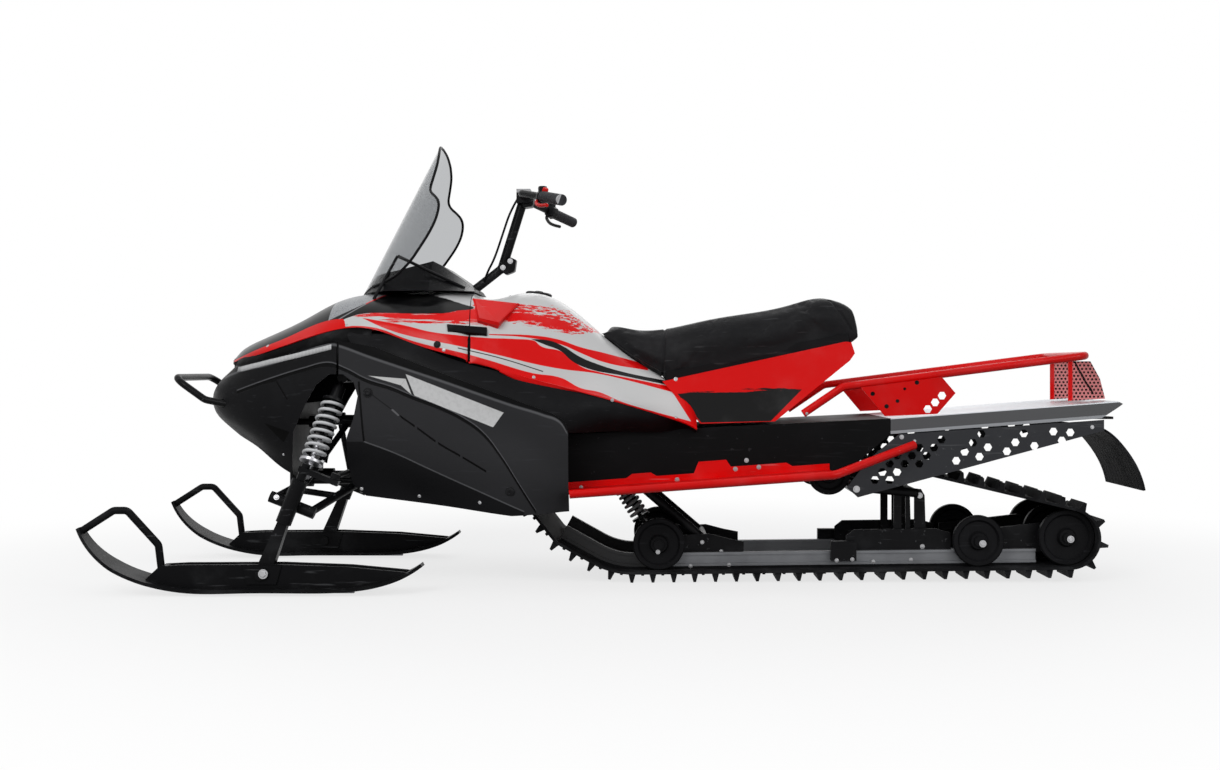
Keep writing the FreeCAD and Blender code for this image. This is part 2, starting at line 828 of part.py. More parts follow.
def build_rack():
    """The red tube rack over the deck, with its perforated side plates and rear brackets."""
    r = rack_tube_radius
    half = rack_half
    front, knee, tail = [at(*s) for s in rack_shares]
    path = []
    for side in (-1, 1):
        run = moved([front, knee, tail], Vector(0, side * half, 0))
        path += run if side < 0 else run[::-1]
    frame = bent_rod(path, r, rack_bend)
    keep("rack_frame", frame)
    plates = []
    for side in (-1, 1):
        y = side * (tunnel_width / 2 + fit_gap + sheet / 2)
        outline = side_points(rack_plate_shares)
        plate = slab(outline, y - sheet / 2, y + sheet / 2)
        for share in rack_plate_holes_share:
            plate = plate.cut(prism(at(*share), hex_radius, 6, y - overrun, y + overrun))
        plates.append(plate)
        y = side * lamp_bracket_y
        plates.append(slab(side_points(lamp_bracket_shares), y - sheet / 2, y + sheet / 2))
    keep("rack_plates", *plates)


# Seat
seat_gap = 1.0
seat_stations_share = [
    (-0.028, 0.549, 0.5668, 0.14), (0.003, 0.510, 0.5684, 0.165), (0.038, 0.4605, 0.5684, 0.21),
    (0.062, 0.472, 0.58, 0.224), (0.094, 0.489, 0.595, 0.232), (0.156, 0.523, 0.621, 0.232),
    (0.197, 0.546, 0.636, 0.225), (0.212, 0.556, 0.614, 0.212),
]
seat_corner_share = 0.35
seat_base_shares = [
    (0.0338, 0.4515), (0.2097, 0.5412), (0.2156, 0.5404), (0.2188, 0.5147), (0.2138, 0.4985), (0.1406, 0.3625), (0.07, 0.3575),
]
seat_base_top_half = 200.0
seat_base_wall = 5.0


def rounded_section(x, low, high, half, corner):
    """A closed upright section, square below and rounded above."""
    c = corner
    arc_share = 1 - math.sqrt(0.5)
    a = Vector(x, -half, low)
    b = Vector(x, -half, high - c)
    b_mid = Vector(x, -half + c * arc_share, high - c * arc_share)
    d = Vector(x, -half + c, high)
    e = Vector(x, half - c, high)
    e_mid = Vector(x, half - c * arc_share, high - c * arc_share)
    f = Vector(x, half, high - c)
    g = Vector(x, half, low)
    return Part.Wire(
        [
            Part.makeLine(a, b),
            Part.Arc(b, b_mid, d).toShape(),
            Part.makeLine(d, e),
            Part.Arc(e, e_mid, f).toShape(),
            Part.makeLine(f, g),
            Part.makeLine(g, a),
        ]
    )


def build_seat():
    """The long straddle cushion and the red pan under it."""
    sections = []
    for x_share, low_share, high_share, half_share in seat_stations_share:
        low = low_share * overall_height + seat_gap
        high = high_share * overall_height
        corner = (high - low) * seat_corner_share
        sections.append(rounded_section(x_share * overall_length, low, high, half_share * body_width, corner))
    outline = side_points(seat_base_shares)
    half_low = tunnel_width / 2
    base_block = slab(moved(outline, Vector(0, 0, seat_gap)), -half_low, half_low)
    shroud_block = under_shroud(seat_gap)
    cushion = Part.makeLoft(sections, True, False).cut(base_block).cut(shroud_block)
    keep("seat_cushion", biggest(cushion))
    solid = slab(outline, -half_low, half_low)
    top_z = max(p.z for p in outline)
    low_z = min(p.z for p in outline)
    x0, x1 = outline[0].x - overrun, max(p.x for p in outline) + overrun

    def side_cut(inset):
        corners = [
            Vector(x0, -half_low + inset, low_z),
            Vector(x0, -seat_base_top_half + inset, top_z),
            Vector(x0, -seat_base_top_half + inset, top_z + overrun),
            Vector(x0, -half_low - overrun, top_z + overrun),
            Vector(x0, -half_low - overrun, low_z - overrun),
            Vector(x0, -half_low + inset, low_z - overrun),
        ]
        wedge = polygon_face(corners).extrude(Vector(x1 - x0, 0, 0))
        return wedge.fuse(mirrored(wedge))

    solid = solid.cut(side_cut(0.0))
    wire = Part.makePolygon(outline + [outline[0]])
    inner_wire = wire.makeOffset2D(-seat_base_wall)
    core = Part.Face(inner_wire)
    core.translate(Vector(0, -half_low, 0))
    core = core.extrude(Vector(0, 2 * half_low, 0)).cut(side_cut(seat_base_wall))
    foot = slab(
        [
            Vector(outline[-1].x + seat_base_wall * 2, 0, low_z + seat_base_wall * 2),
            Vector(outline[-2].x - seat_base_wall * 2, 0, low_z + seat_base_wall * 2),
            Vector(outline[-2].x - seat_base_wall * 2, 0, low_z - overrun),
            Vector(outline[-1].x + seat_base_wall * 2, 0, low_z - overrun),
        ],
        -half_low + seat_base_wall * 2,
        half_low - seat_base_wall * 2,
    )
    keep("seat_base", biggest(solid.cut(core).cut(foot).cut(shroud_block)))


# Bodywork: each panel is a part of a smooth wall, cut to its side-view outline
panel_thickness = 4.0
panel_gap = 3.0
wall_accuracy = 0.01

hood_rows_shares = [
    [(-0.391, 0.0, 0.5), (-0.3895, 0.07, 0.499), (-0.386, 0.125, 0.497), (-0.379, 0.16, 0.495)],
    [(-0.383, 0.0, 0.523), (-0.38, 0.09, 0.5205), (-0.374, 0.17, 0.514), (-0.3665, 0.222, 0.5035)],
    [(-0.361, 0.0, 0.5485), (-0.358, 0.13, 0.546), (-0.352, 0.24, 0.533), (-0.345, 0.29, 0.516)],
    [(-0.3163, 0.0, 0.5934), (-0.3156, 0.16, 0.59), (-0.3125, 0.28, 0.567), (-0.309, 0.337, 0.5435)],
    [(-0.2722, 0.0, 0.6441), (-0.2719, 0.18, 0.639), (-0.2688, 0.325, 0.608), (-0.2616, 0.388, 0.57)],
    [(-0.225, 0.0, 0.654), (-0.225, 0.2, 0.649), (-0.225, 0.36, 0.612), (-0.225, 0.41, 0.559)],
    [(-0.1875, 0.0, 0.654), (-0.1875, 0.21, 0.649), (-0.185, 0.375, 0.595), (-0.1813, 0.424, 0.522)],
    [(-0.15, 0.0, 0.6515), (-0.15, 0.2, 0.647), (-0.148, 0.36, 0.584), (-0.1475, 0.431, 0.494)],
]
shroud_rows_shares = [
    [(-0.15, 0.0, 0.6515), (-0.15, 0.2, 0.647), (-0.148, 0.36, 0.584), (-0.1475, 0.431, 0.494)],
    [(-0.11, 0.0, 0.65), (-0.11, 0.18, 0.645), (-0.109, 0.34, 0.569), (-0.108, 0.433, 0.471)],
    [(-0.072, 0.0, 0.6415), (-0.072, 0.16, 0.635), (-0.071, 0.31, 0.546), (-0.0703, 0.433, 0.448)],
    [(-0.03, 0.0, 0.5675), (-0.03, 0.15, 0.5655), (-0.03, 0.28, 0.513), (-0.03, 0.425, 0.424)],
    [(0.003, 0.0, 0.5055), (0.003, 0.16, 0.5045), (0.003, 0.27, 0.473), (0.003, 0.414, 0.4015)],
    [(0.038, 0.0, 0.455), (0.038, 0.18, 0.454), (0.038, 0.27, 0.437), (0.038, 0.398, 0.3755)],
    [(0.066, 0.0, 0.384), (0.066, 0.2, 0.383), (0.066, 0.29, 0.379), (0.066, 0.384, 0.3475)],
]


def full_width_rows(half_rows):
    """A grid across the whole body, from the rows of its right half."""
    rows = []
    for half_row in half_rows:
        right = [body_point(*share) for share in half_row]
        left = [Vector(p.x, -p.y, p.z) for p in right[:0:-1]]
        rows.append(left + right)
    return rows


def block_under(rows, gap):
    """The space below a panel's outer face, grown upwards by a gap."""
    face = spline_surface(rows).toShape()
    face.translate(Vector(0, 0, gap))
    return face.extrude(Vector(0, 0, -overall_height / 2))


def under_shroud(gap):
    """The space taken by the shroud and what lies below it."""
    return block_under(full_width_rows(shroud_rows_shares), gap)


def build_upper_body():
    """The painted hood and the shroud behind it, parted at a seam."""
    hood = wall_from_grid(full_width_rows(hood_rows_shares), panel_thickness)
    keep("hood", biggest(hood.cut(rod(column_foot, column_head, column_radius + column_room))))
    rows = full_width_rows(shroud_rows_shares)
    rows[0] = moved(rows[0], Vector(panel_gap, 0, 0))
    keep("tank_shroud", wall_from_grid(rows, panel_thickness))


lower_stations_shares = [
    [(-0.3891, 0.0, 0.4912), (-0.3944, 0.0, 0.4706), (-0.4016, 0.0, 0.4544), (-0.4094, 0.0, 0.4265), (-0.4088, 0.0, 0.3897), (-0.3906, 0.0, 0.3456)],
    [(-0.3828, 0.128, 0.4941), (-0.3875, 0.14, 0.4743), (-0.3944, 0.151, 0.4574), (-0.4016, 0.163, 0.4228), (-0.4, 0.163, 0.3824), (-0.3797, 0.151, 0.3309)],
    [(-0.3641, 0.233, 0.509), (-0.3703, 0.25, 0.4882), (-0.375, 0.262, 0.4618), (-0.3797, 0.273, 0.4118), (-0.375, 0.262, 0.3603), (-0.3563, 0.233, 0.3051)],
    [(-0.3125, 0.337, 0.538), (-0.3125, 0.366, 0.5169), (-0.3156, 0.378, 0.4743), (-0.3188, 0.384, 0.4007), (-0.3172, 0.355, 0.3162), (-0.3156, 0.314, 0.2437)],
    [(-0.2625, 0.39, 0.5645), (-0.2694, 0.419, 0.5397), (-0.2719, 0.424, 0.4926), (-0.2688, 0.436, 0.4118), (-0.2656, 0.43, 0.3088), (-0.2594, 0.388, 0.2029)],
    [(-0.2188, 0.413, 0.55), (-0.2188, 0.453, 0.5147), (-0.2156, 0.459, 0.4706), (-0.2156, 0.471, 0.3824), (-0.2156, 0.459, 0.2757), (-0.2156, 0.412, 0.1676)],
    [(-0.1563, 0.43, 0.496), (-0.1563, 0.477, 0.4581), (-0.1531, 0.483, 0.4118), (-0.15, 0.494, 0.3309), (-0.15, 0.483, 0.2279), (-0.15, 0.441, 0.1493)],
    [(-0.0803, 0.436, 0.445), (-0.0734, 0.494, 0.3882), (-0.0734, 0.5, 0.3529), (-0.0734, 0.5, 0.2941), (-0.0734, 0.5, 0.2206), (-0.0734, 0.47, 0.1434)],
    [(-0.0247, 0.43, 0.43), (-0.0238, 0.488, 0.365), (-0.023, 0.494, 0.33), (-0.0225, 0.494, 0.2868), (-0.0225, 0.488, 0.2132), (-0.0238, 0.459, 0.1434)],
]
brow_outline_shares = [
    (-0.415, 0.34), (-0.415, 0.47), (-0.389, 0.4868), (-0.371, 0.4868), (-0.3078, 0.5191), (-0.2694, 0.5397),
    (-0.2694, 0.47), (-0.2694, 0.2), (-0.34, 0.2),
]
side_outline_shares = [
    (-0.2672, 0.5397), (-0.2556, 0.537), (-0.2331, 0.5272), (-0.1625, 0.464), (-0.0678, 0.3831), (-0.056, 0.367),
    (-0.0531, 0.34), (-0.0531, 0.1684), (-0.105, 0.1618), (-0.2428, 0.2015), (-0.2559, 0.2287), (-0.2672, 0.26),
]
arch_shares = [
    (-0.318, 0.24), (-0.3125, 0.34), (-0.3, 0.4), (-0.289, 0.445), (-0.276, 0.468), (-0.263, 0.468), (-0.2525, 0.45),
    (-0.2485, 0.42), (-0.2525, 0.37), (-0.2590, 0.33), (-0.2590, 0.28), (-0.2550, 0.22), (-0.2600, 0.15), (-0.318, 0.15),
]
shoulder_rows_shares = [
    [(-0.2616, 0.384, 0.5665), (-0.225, 0.406, 0.5555), (-0.1813, 0.42, 0.519), (-0.1475, 0.427, 0.491), (-0.108, 0.429, 0.468), (-0.0703, 0.429, 0.445), (-0.03, 0.421, 0.421), (0.003, 0.41, 0.3985), (0.038, 0.394, 0.3725), (0.066, 0.38, 0.3445)],
    [(-0.2616, 0.405, 0.535), (-0.225, 0.437, 0.509), (-0.1813, 0.453, 0.466), (-0.1475, 0.463, 0.437), (-0.108, 0.471, 0.4), (-0.0703, 0.471, 0.37), (-0.03, 0.42, 0.365), (0.003, 0.38, 0.358), (0.038, 0.352, 0.351), (0.066, 0.34, 0.341)],
    [(-0.2616, 0.404, 0.515), (-0.225, 0.436, 0.489), (-0.1813, 0.452, 0.446), (-0.1475, 0.462, 0.417), (-0.108, 0.468, 0.38), (-0.0703, 0.462, 0.345), (-0.03, 0.385, 0.3405), (0.003, 0.345, 0.3405), (0.038, 0.328, 0.3405), (0.066, 0.325, 0.337)],
]


def lower_wall():
    """The black lower bodywork as one wall, from one footwell round the nose to the other."""
    right = [[body_point(*share) for share in station] for station in lower_stations_shares]
    left = [[Vector(p.x, -p.y, p.z) for p in station] for station in right[:0:-1]]
    return wall_from_grid(left + right, panel_thickness)


def build_lower_body():
    """Nose, side panels and shoulders."""
    wall = lower_wall()
    deep = body_width
    arch = slab(side_points(arch_shares), -deep, deep)
    nose = wall.common(slab(side_points(brow_outline_shares), -deep, deep)).cut(arch)
    keep("nose_cone", biggest(nose.cut(bumper_tube(bumper_radius + bumper_room))))
    side = biggest(wall.common(slab(side_points(side_outline_shares), -deep, 0.0)).cut(arch))
    keep("side_panel_left", side)
    keep("side_panel_right", mirrored(side))
    rows = [[Vector(p.x, -p.y, p.z) for p in (body_point(*s) for s in row)] for row in shoulder_rows_shares]
    shoulder = wall_from_grid(rows, panel_thickness)
    tunnel_block = slab(tunnel_outline(), -tunnel_width / 2, tunnel_width / 2)
    for blocker in (side, parts["hood"], parts["tank_shroud"], tunnel_block):
        shoulder = biggest(shoulder.cut(blocker))
    both_sides("shoulder_panels", shoulder)


bumper_radius = 11.0
bumper_bend = 45.0
bumper_half = 210.0
bumper_room = 2.0
bumper_shares = [(-0.319, 0.3705), (-0.405, 0.41), (-0.4345, 0.46)]


def bumper_tube(radius):
    """The bumper's bent tube, at its own size or grown for its holes."""
    path = moved(side_points(bumper_shares), Vector(0, -bumper_half, 0))
    path += moved(side_points(bumper_shares)[::-1], Vector(0, bumper_half, 0))
    return bent_rod(path, radius, bumper_bend)


def build_bumper():
    """The front bumper tube, which passes through the nose to the frame."""
    tube_solid = bumper_tube(bumper_radius)
    behind = Vector(frame_front_x - bulkhead - fit_gap, -bumper_half - overrun, 0)
    rear_space = Part.makeBox(overall_length / 2, 2 * (bumper_half + overrun), overall_height, behind)
    keep("front_bumper", biggest(tube_solid.cut(rear_space)))


# Dash pod, windshield and lamps
pod_stations_share = [
    (-0.262, 0.653, 0.658, 0.20, 0.17), (-0.2416, 0.654, 0.6904, 0.30, 0.22), (-0.1884, 0.655, 0.7257, 0.31, 0.18),
    (-0.1803, 0.655, 0.7162, 0.30, 0.17), (-0.1619, 0.655, 0.6868, 0.28, 0.15), (-0.148, 0.655, 0.662, 0.24, 0.13),
]
shield_foot = at(-0.2631, 0.6493)
shield_head = at(-0.1869, 0.9956)
shield_thickness = 3.5
shield_steps = 8
shield_reach = 1.2
shield_bow = 148.0
shield_bow_half = 320.0
shield_outline_shares = [
    (0.0, 0.652), (0.17, 0.664), (0.35, 0.7), (0.378, 0.752), (0.378, 0.82), (0.345, 0.855), (0.262, 0.884),
    (0.235, 0.915), (0.2, 0.95), (0.12, 0.985), (0.0, 0.9985),
]


def build_dash():
    """The faceted black pod that carries the windshield and the gauge."""
    sections = []
    for x_share, low_share, high_share, base_share, top_share in pod_stations_share:
        x = x_share * overall_length
        low, high = low_share * overall_height, high_share * overall_height
        base, top = base_share * body_width, top_share * body_width
        corners = [Vector(x, -base, low), Vector(x, -top, high), Vector(x, top, high), Vector(x, base, low)]
        sections.append(Part.makePolygon(corners + [corners[0]]))
    pod = Part.makeLoft(sections, True, True)
    pod = pod.cut(block_under(full_width_rows(hood_rows_shares), fit_gap))
    pod = pod.cut(rod(column_foot, column_head, column_radius + column_room))
    keep("dash_pod", biggest(pod.cut(shield_room())))


def bowed_sheet(ahead, behind):
    """The shield's bowed and raked sheet, between two distances ahead of and behind its outer face."""
    half = body_width / 2
    front, back = [], []
    for k in range(-shield_steps, shield_steps + 1):
        y = half * k / shield_steps
        set_back = shield_bow * (y / shield_bow_half) ** 2
        point = shield_foot + Vector(set_back, y, 0)
        slope = 2 * shield_bow * y / shield_bow_half**2
        normal = Vector(1, -slope, 0).normalize()
        front.append(point - normal * ahead)
        back.append(point + normal * behind)
    outer, inner = Part.BSplineCurve(), Part.BSplineCurve()
    outer.interpolate(front)
    inner.interpolate(back)
    ends = [Part.makeLine(front[-1], back[-1]), Part.makeLine(back[0], front[0])]
    face = Part.Face(Part.Wire([outer.toShape(), ends[0], inner.toShape(), ends[1]]))
    rise = (shield_head - shield_foot) * shield_reach
    face.translate(rise * ((1 - shield_reach) / 2))
    return face.extrude(rise)


def shield_room():
    """The space ahead of the shield's inner face, which the pod keeps clear of."""
    return bowed_sheet(overrun, shield_thickness + fit_gap)


def build_windshield():
    """A clear shield bowed in plan and cut to a shouldered outline."""
    sheet_solid = bowed_sheet(0.0, shield_thickness)
    right = [Vector(-overall_length / 2, y * body_width, z * overall_height) for y, z in shield_outline_shares]
    left = [Vector(p.x, -p.y, p.z) for p in right[-2:0:-1]]
    mask_curve = Part.BSplineCurve()
    mask_curve.interpolate(Points=right + left, PeriodicFlag=True)
    mask = Part.Face(Part.Wire(mask_curve.toShape())).extrude(Vector(overall_length / 2, 0, 0))
    shield = sheet_solid.common(mask).cut(block_under(full_width_rows(hood_rows_shares), fit_gap))
    keep("windshield", biggest(shield))


# Steering: the column turns in a bearing on the frame
column_angle = math.radians(38.0)
column_point = at(-0.1553, 0.6618)
column_radius = 14.0
column_below = 260.0
column_above = 120.0
bar_centre = at(-0.1035, 0.884)
bar_radius = 11.0
bar_half = 330.0
bar_sweep = 120.0
bar_end = at(-0.0605, 0.8493)
grip_radius = 17.0
grip_length = 125.0
riser_knee = at(-0.118, 0.733)
riser_radius = 15.0
clamp_size = 44.0
bearing_radius = 24.0
running_gap = 0.05
bearing_length = 50.0
column_room = 6.0
column_way = Vector(math.cos(column_angle), 0, math.sin(column_angle))
column_foot = column_point - column_way * column_below
column_head = column_point + column_way * column_above


def build_handlebar():
    """Column, bent riser and handlebar as one piece, with grips and levers."""
    bar_bend = 60.0
    clamp = slab(
        [bar_centre + Vector(dx * clamp_size / 2, 0, dz * clamp_size / 2) for dx, dz in ((-1, -1), (1, -1), (1, 1), (-1, 1))],
        -clamp_size,
        clamp_size,
    )
    bar_path = [
        Vector(bar_end.x, -bar_half - grip_length / 4, bar_end.z),
        Vector(bar_centre.x, -bar_sweep, bar_centre.z),
        Vector(bar_centre.x, bar_sweep, bar_centre.z),
        Vector(bar_end.x, bar_half + grip_length / 4, bar_end.z),
    ]
    pieces = [
        rod(column_foot, column_head, column_radius),
        rod(column_head, bar_centre, riser_radius),
        Part.makeSphere(riser_radius + 4 * fit_gap, column_head),
        clamp,
        bent_rod(bar_path, bar_radius, bar_bend),
    ]
    keep("handlebar", fused(pieces))
    way = (bar_path[0] - bar_path[1]).normalize()
    grip_start = bar_path[0] - way * grip_length
    grip_end = bar_path[0] + way * fit_gap * 10
    grip = rod(grip_start, grip_end, grip_radius).cut(rod(grip_start, bar_path[0] + way * fit_gap, bar_radius + fit_gap))
    both_sides("grips", grip)


# Front frame, arms and steering knuckles
caster = math.radians(21.5)
king_way = Vector(math.sin(caster), 0, math.cos(caster))
king_back = Vector(math.cos(caster), 0, -math.sin(caster))
ski_pivot = at(-0.33, 0.0412, -ski_stance / 2)
king_radius = 13.0
carrier_radius = 23.0
carrier_low = 165.0
carrier_high = 292.0
leg_top = 158.0
leg_foot_width = 47.0
leg_top_width = 30.0
leg_depth = 40.0
leg_top_depth = 34.0
king_top = 344.0
arm_drop = 8.0
steering_arm_length = 92.0
steering_arm_width = 30.0
steering_arm_height = 16.0
steering_arm_low = 316.0
ski_bolt_radius = 8.0
ski_bolt_head_radius = 14.0
ski_bolt_head = 8.0
leg_foot_radius = 24.0
cross_pivot_radius = 17.0
cross_pivot_length = 140.0
cross_pivot_along = 212.0
lower_arm_radius = 12.0
lower_arm_inner_y = 165.0
lower_arm_inner_z_share = 0.225
lower_arm_front_x = -0.3094 * overall_length
lower_arm_rear_x = -0.2562 * overall_length
upper_arm_radius = 9.0
upper_arm_along = 250.0
upper_arm_inner_y = 190.0
upper_arm_inner_z_share = 0.36
upper_arm_front_x = -0.3 * overall_length
upper_arm_rear_x = -0.268 * overall_length
bush_radius = 18.0
pivot_bar_radius = 10.0
bush_length = 36.0
frame_tube_radius = 14.0
tie_share = 0.85
damper_top_y = 285.0
damper_top = at(-0.2681, 0.4596)
front_spring_radius = 31.0
front_spring_turns = 8
front_spring_share = (0.14, 0.74)
damper_offset_y = 62.0


def king(s, y_shift=0.0, back=0.0):
    """A point on the left steering axis, at a distance above the ski's pivot."""
    return ski_pivot + king_way * s + Vector(0, y_shift, 0) + king_back * back


def build_knuckles():
    """The turning knuckle of each side: ski leg, kingpin and steering arm. The right one mirrors the left one."""

    def section(s, width, depth):
        centre = king(s)
        corners = [
            centre + king_back * (dx * width / 2) + Vector(0, dy * depth / 2, 0)
            for dx, dy in ((-1, -1), (1, -1), (1, 1), (-1, 1))
        ]
        return Part.makePolygon(corners + [corners[0]])

    leg = Part.makeLoft(
        [section(0.0, leg_foot_width, leg_depth), section(leg_top, leg_top_width, leg_top_depth)], True, True
    )
    half_leg = Vector(0, leg_depth / 2, 0)
    foot = rod(ski_pivot - half_leg, ski_pivot + half_leg, leg_foot_radius)
    reach = Vector(0, ski_boss_outer, 0)
    head = Vector(0, ski_bolt_head, 0)
    gap = Vector(0, fit_gap, 0)
    bolt = rod(ski_pivot - reach - gap, ski_pivot + reach + gap, ski_bolt_radius)
    heads = [
        rod(ski_pivot - reach - head - gap, ski_pivot - reach - gap, ski_bolt_head_radius),
        rod(ski_pivot + reach + gap, ski_pivot + reach + head + gap, ski_bolt_head_radius),
    ]
    pin = rod(king(leg_top / 2), king(king_top), king_radius)
    shoulder = rod(king(leg_top), king(carrier_low - fit_gap), carrier_radius)
    low = king(steering_arm_low, 0.0, -steering_arm_width / 2)
    side = Vector(0, steering_arm_width / 2, 0)
    tip = low + king_back * (steering_arm_length + steering_arm_width)
    arm_face = polygon_face([low - side, tip - side, tip + side, low + side])
    arm = arm_face.extrude(king_way * steering_arm_height)
    knuckle = fused([leg, foot, bolt, pin, shoulder, arm] + heads)
    keep("knuckle_left", knuckle)
    keep("knuckle_right", mirrored(knuckle))


def build_carriers():
    """The kingpin housings that the arms and dampers carry."""
    housing = rod(king(carrier_low), king(carrier_high), carrier_radius)
    y_in = carrier_radius + cross_pivot_radius - arm_drop
    centre = king(cross_pivot_along, y_in)
    half = king_back * (cross_pivot_length / 2)
    pivot = rod(centre - half, centre + half, cross_pivot_radius)
    upper = king(upper_arm_along)
    lug = rod(upper, upper + Vector(0, carrier_radius + bush_radius, 0), upper_arm_radius + arm_drop / 2)
    bore = rod(king(carrier_low - overrun), king(carrier_high + overrun), king_radius + running_gap)
    both_sides("kingpin_housings", fused([housing, pivot, lug]).cut(bore))
    return centre, half, upper


def build_arms():
    """Double wishbones: lower and upper A-arms, on bars of the front frame."""
    centre, half, upper = build_carriers()
    z = lower_arm_inner_z_share * overall_height
    legs = []
    reach = Vector(0, cross_pivot_radius, 0)
    for sign, x in ((-1, lower_arm_front_x), (1, lower_arm_rear_x)):
        outer = centre + half * (sign * 0.8) + reach
        inner = Vector(x, -lower_arm_inner_y - bush_radius, z)
        legs.append(rod(outer, inner, lower_arm_radius))
        bush_half = Vector(bush_length / 2, 0, 0)
        hub = Vector(x, -lower_arm_inner_y, z)
        legs.append(rod(hub - bush_half, hub + bush_half, bush_radius))
    brace_a = legs[0].CenterOfMass
    brace_b = legs[2].CenterOfMass
    legs.append(rod(brace_a, brace_b, lower_arm_radius * 0.8))
    socket = rod(centre - half, centre + half, cross_pivot_radius + fit_gap)
    lower = fused(legs).cut(pivot_bar(lower_arm_inner_y, z, fit_gap)).cut(socket)
    z = upper_arm_inner_z_share * overall_height
    legs = []
    outer = upper + Vector(0, carrier_radius + bush_radius + fit_gap, 0)
    for x in (upper_arm_front_x, upper_arm_rear_x):
        hub = Vector(x, -upper_arm_inner_y, z)
        bush_half = Vector(bush_length / 2, 0, 0)
        legs.append(rod(outer + Vector(0, upper_arm_radius, 0), hub, upper_arm_radius))
        legs.append(rod(hub - bush_half, hub + bush_half, bush_radius))
    legs.append(Part.makeSphere(upper_arm_radius + fit_gap, outer + Vector(0, upper_arm_radius * 1.1, 0)))
    upper_arm = fused(legs).cut(pivot_bar(upper_arm_inner_y, z, fit_gap))
    keep("front_arms", lower, mirrored(lower), upper_arm, mirrored(upper_arm))


def pivot_bar(y, z, grow=0.0):
    """A fore-and-aft bar of the front frame that an arm's bushes turn on."""
    return rod(Vector(frame_front_x, -y, z), Vector(frame_rear_x, -y, z), pivot_bar_radius + grow)


frame_front_x = -0.3195 * overall_length
frame_rear_x = -0.2469 * overall_length
bulkhead = 8.0
bulkhead_front_half = 230.0
bulkhead_rear_half = 300.0
engine_low = at(-0.2406, 0.235)
engine_high = at(-0.153, 0.44)
engine_half = 200.0
beam_width = 30.0


def build_frame():
    """The front frame: two bulkheads, the bars between them, the damper beam and the column's bearing."""
    z_low = lower_arm_inner_z_share * overall_height
    z_high = upper_arm_inner_z_share * overall_height
    front_low, front_high = z_low - bush_radius, z_high + bush_radius * 3
    front = Part.makeBox(
        bulkhead, 2 * bulkhead_front_half, front_high - front_low, Vector(frame_front_x - bulkhead, -bulkhead_front_half, front_low)
    )
    rear_high = damper_top.z + bush_radius * 2
    rear = Part.makeBox(
        bulkhead, 2 * bulkhead_rear_half, rear_high - front_low, Vector(frame_rear_x, -bulkhead_rear_half, front_low)
    )
    pieces = [front, rear]
    for y, z in ((lower_arm_inner_y, z_low), (upper_arm_inner_y, z_high)):
        bar = pivot_bar(y, z)
        pieces += [bar, mirrored(bar)]
    inset = damper_eye_width / 2 + fit_gap
    eye = Vector(damper_top.x, 0, damper_top.z)
    stub_end = damper_top_y - inset
    pieces.append(rod(eye - Vector(0, stub_end, 0), eye + Vector(0, stub_end, 0), frame_tube_radius))
    for y in (-stub_end + frame_tube_radius, stub_end - frame_tube_radius):
        tie = Vector(0, y, 0)
        pieces.append(rod(eye + tie, Vector(frame_rear_x + bulkhead / 2, y, eye.z), frame_tube_radius * tie_share))
    bearing_a = column_foot + column_way * running_gap
    bearing_b = bearing_a + column_way * bearing_length
    pieces.append(rod(bearing_a, bearing_b, bearing_radius))
    post = (bearing_a + bearing_b) * 0.5
    pieces.append(rod(Vector(frame_rear_x + bulkhead / 2, 0, rear_high - frame_tube_radius), post, frame_tube_radius))
    beam_z = (engine_low.z + tunnel_top(tunnel_front_x)) / 2
    for side in (-1, 1):
        y = side * (tunnel_width / 2 - beam_width / 2)
        pieces.append(
            Part.makeBox(
                tunnel_front_x - frame_rear_x - fit_gap, beam_width, beam_width, Vector(frame_rear_x, y - beam_width / 2, beam_z)
            )
        )
    solid = fused(pieces)
    solid = solid.cut(rod(column_foot - column_way * overrun, column_foot + column_way * (bearing_length + overrun), column_radius + running_gap))
    keep("front_frame", solid)
    keep(
        "engine_block",
        Part.makeBox(
            engine_high.x - engine_low.x, 2 * engine_half, engine_high.z - engine_low.z, Vector(engine_low.x, -engine_half, engine_low.z)
        ),
    )


def build_dampers():
    """Coil-over dampers: one from each kingpin housing up to the frame, and one inside the track."""
    foot = king(carrier_high + damper_eye_radius, damper_offset_y)
    top = Vector(damper_top.x, -damper_top_y, damper_top.z)
    solid, low, high = damper(foot, top, front_spring_share, front_spring_radius)
    inset = (high - low).normalize() * (spring_wire_radius + fit_gap)
    front = coil(low + inset, high - inset, front_spring_radius, front_spring_turns, spring_wire_radius)
    middle, low, high = damper(track_damper_foot, track_damper_top, track_spring_share, track_spring_radius)
    inset = (high - low).normalize() * (spring_wire_radius + fit_gap)
    rear = coil(low + inset, high - inset, track_spring_radius, track_spring_turns, spring_wire_radius)
    shaft_reach = rail_side_y(bracket_width) - bracket_width / 2
    foot_across = Vector(0, shaft_reach, 0)
    top_across = Vector(0, tunnel_width / 2 - sheet, 0)
    shafts = [
        rod(track_damper_foot - foot_across, track_damper_foot + foot_across, axle_radius),
        rod(track_damper_top - top_across, track_damper_top + top_across, axle_radius),
    ]
    keep("dampers", solid, mirrored(solid), fused([middle] + shafts))
    keep("springs", front, mirrored(front), rear)


tie_rod_radius = 8.0
tie_rod_eye_radius = 14.0
tie_rod_gap = 1.0


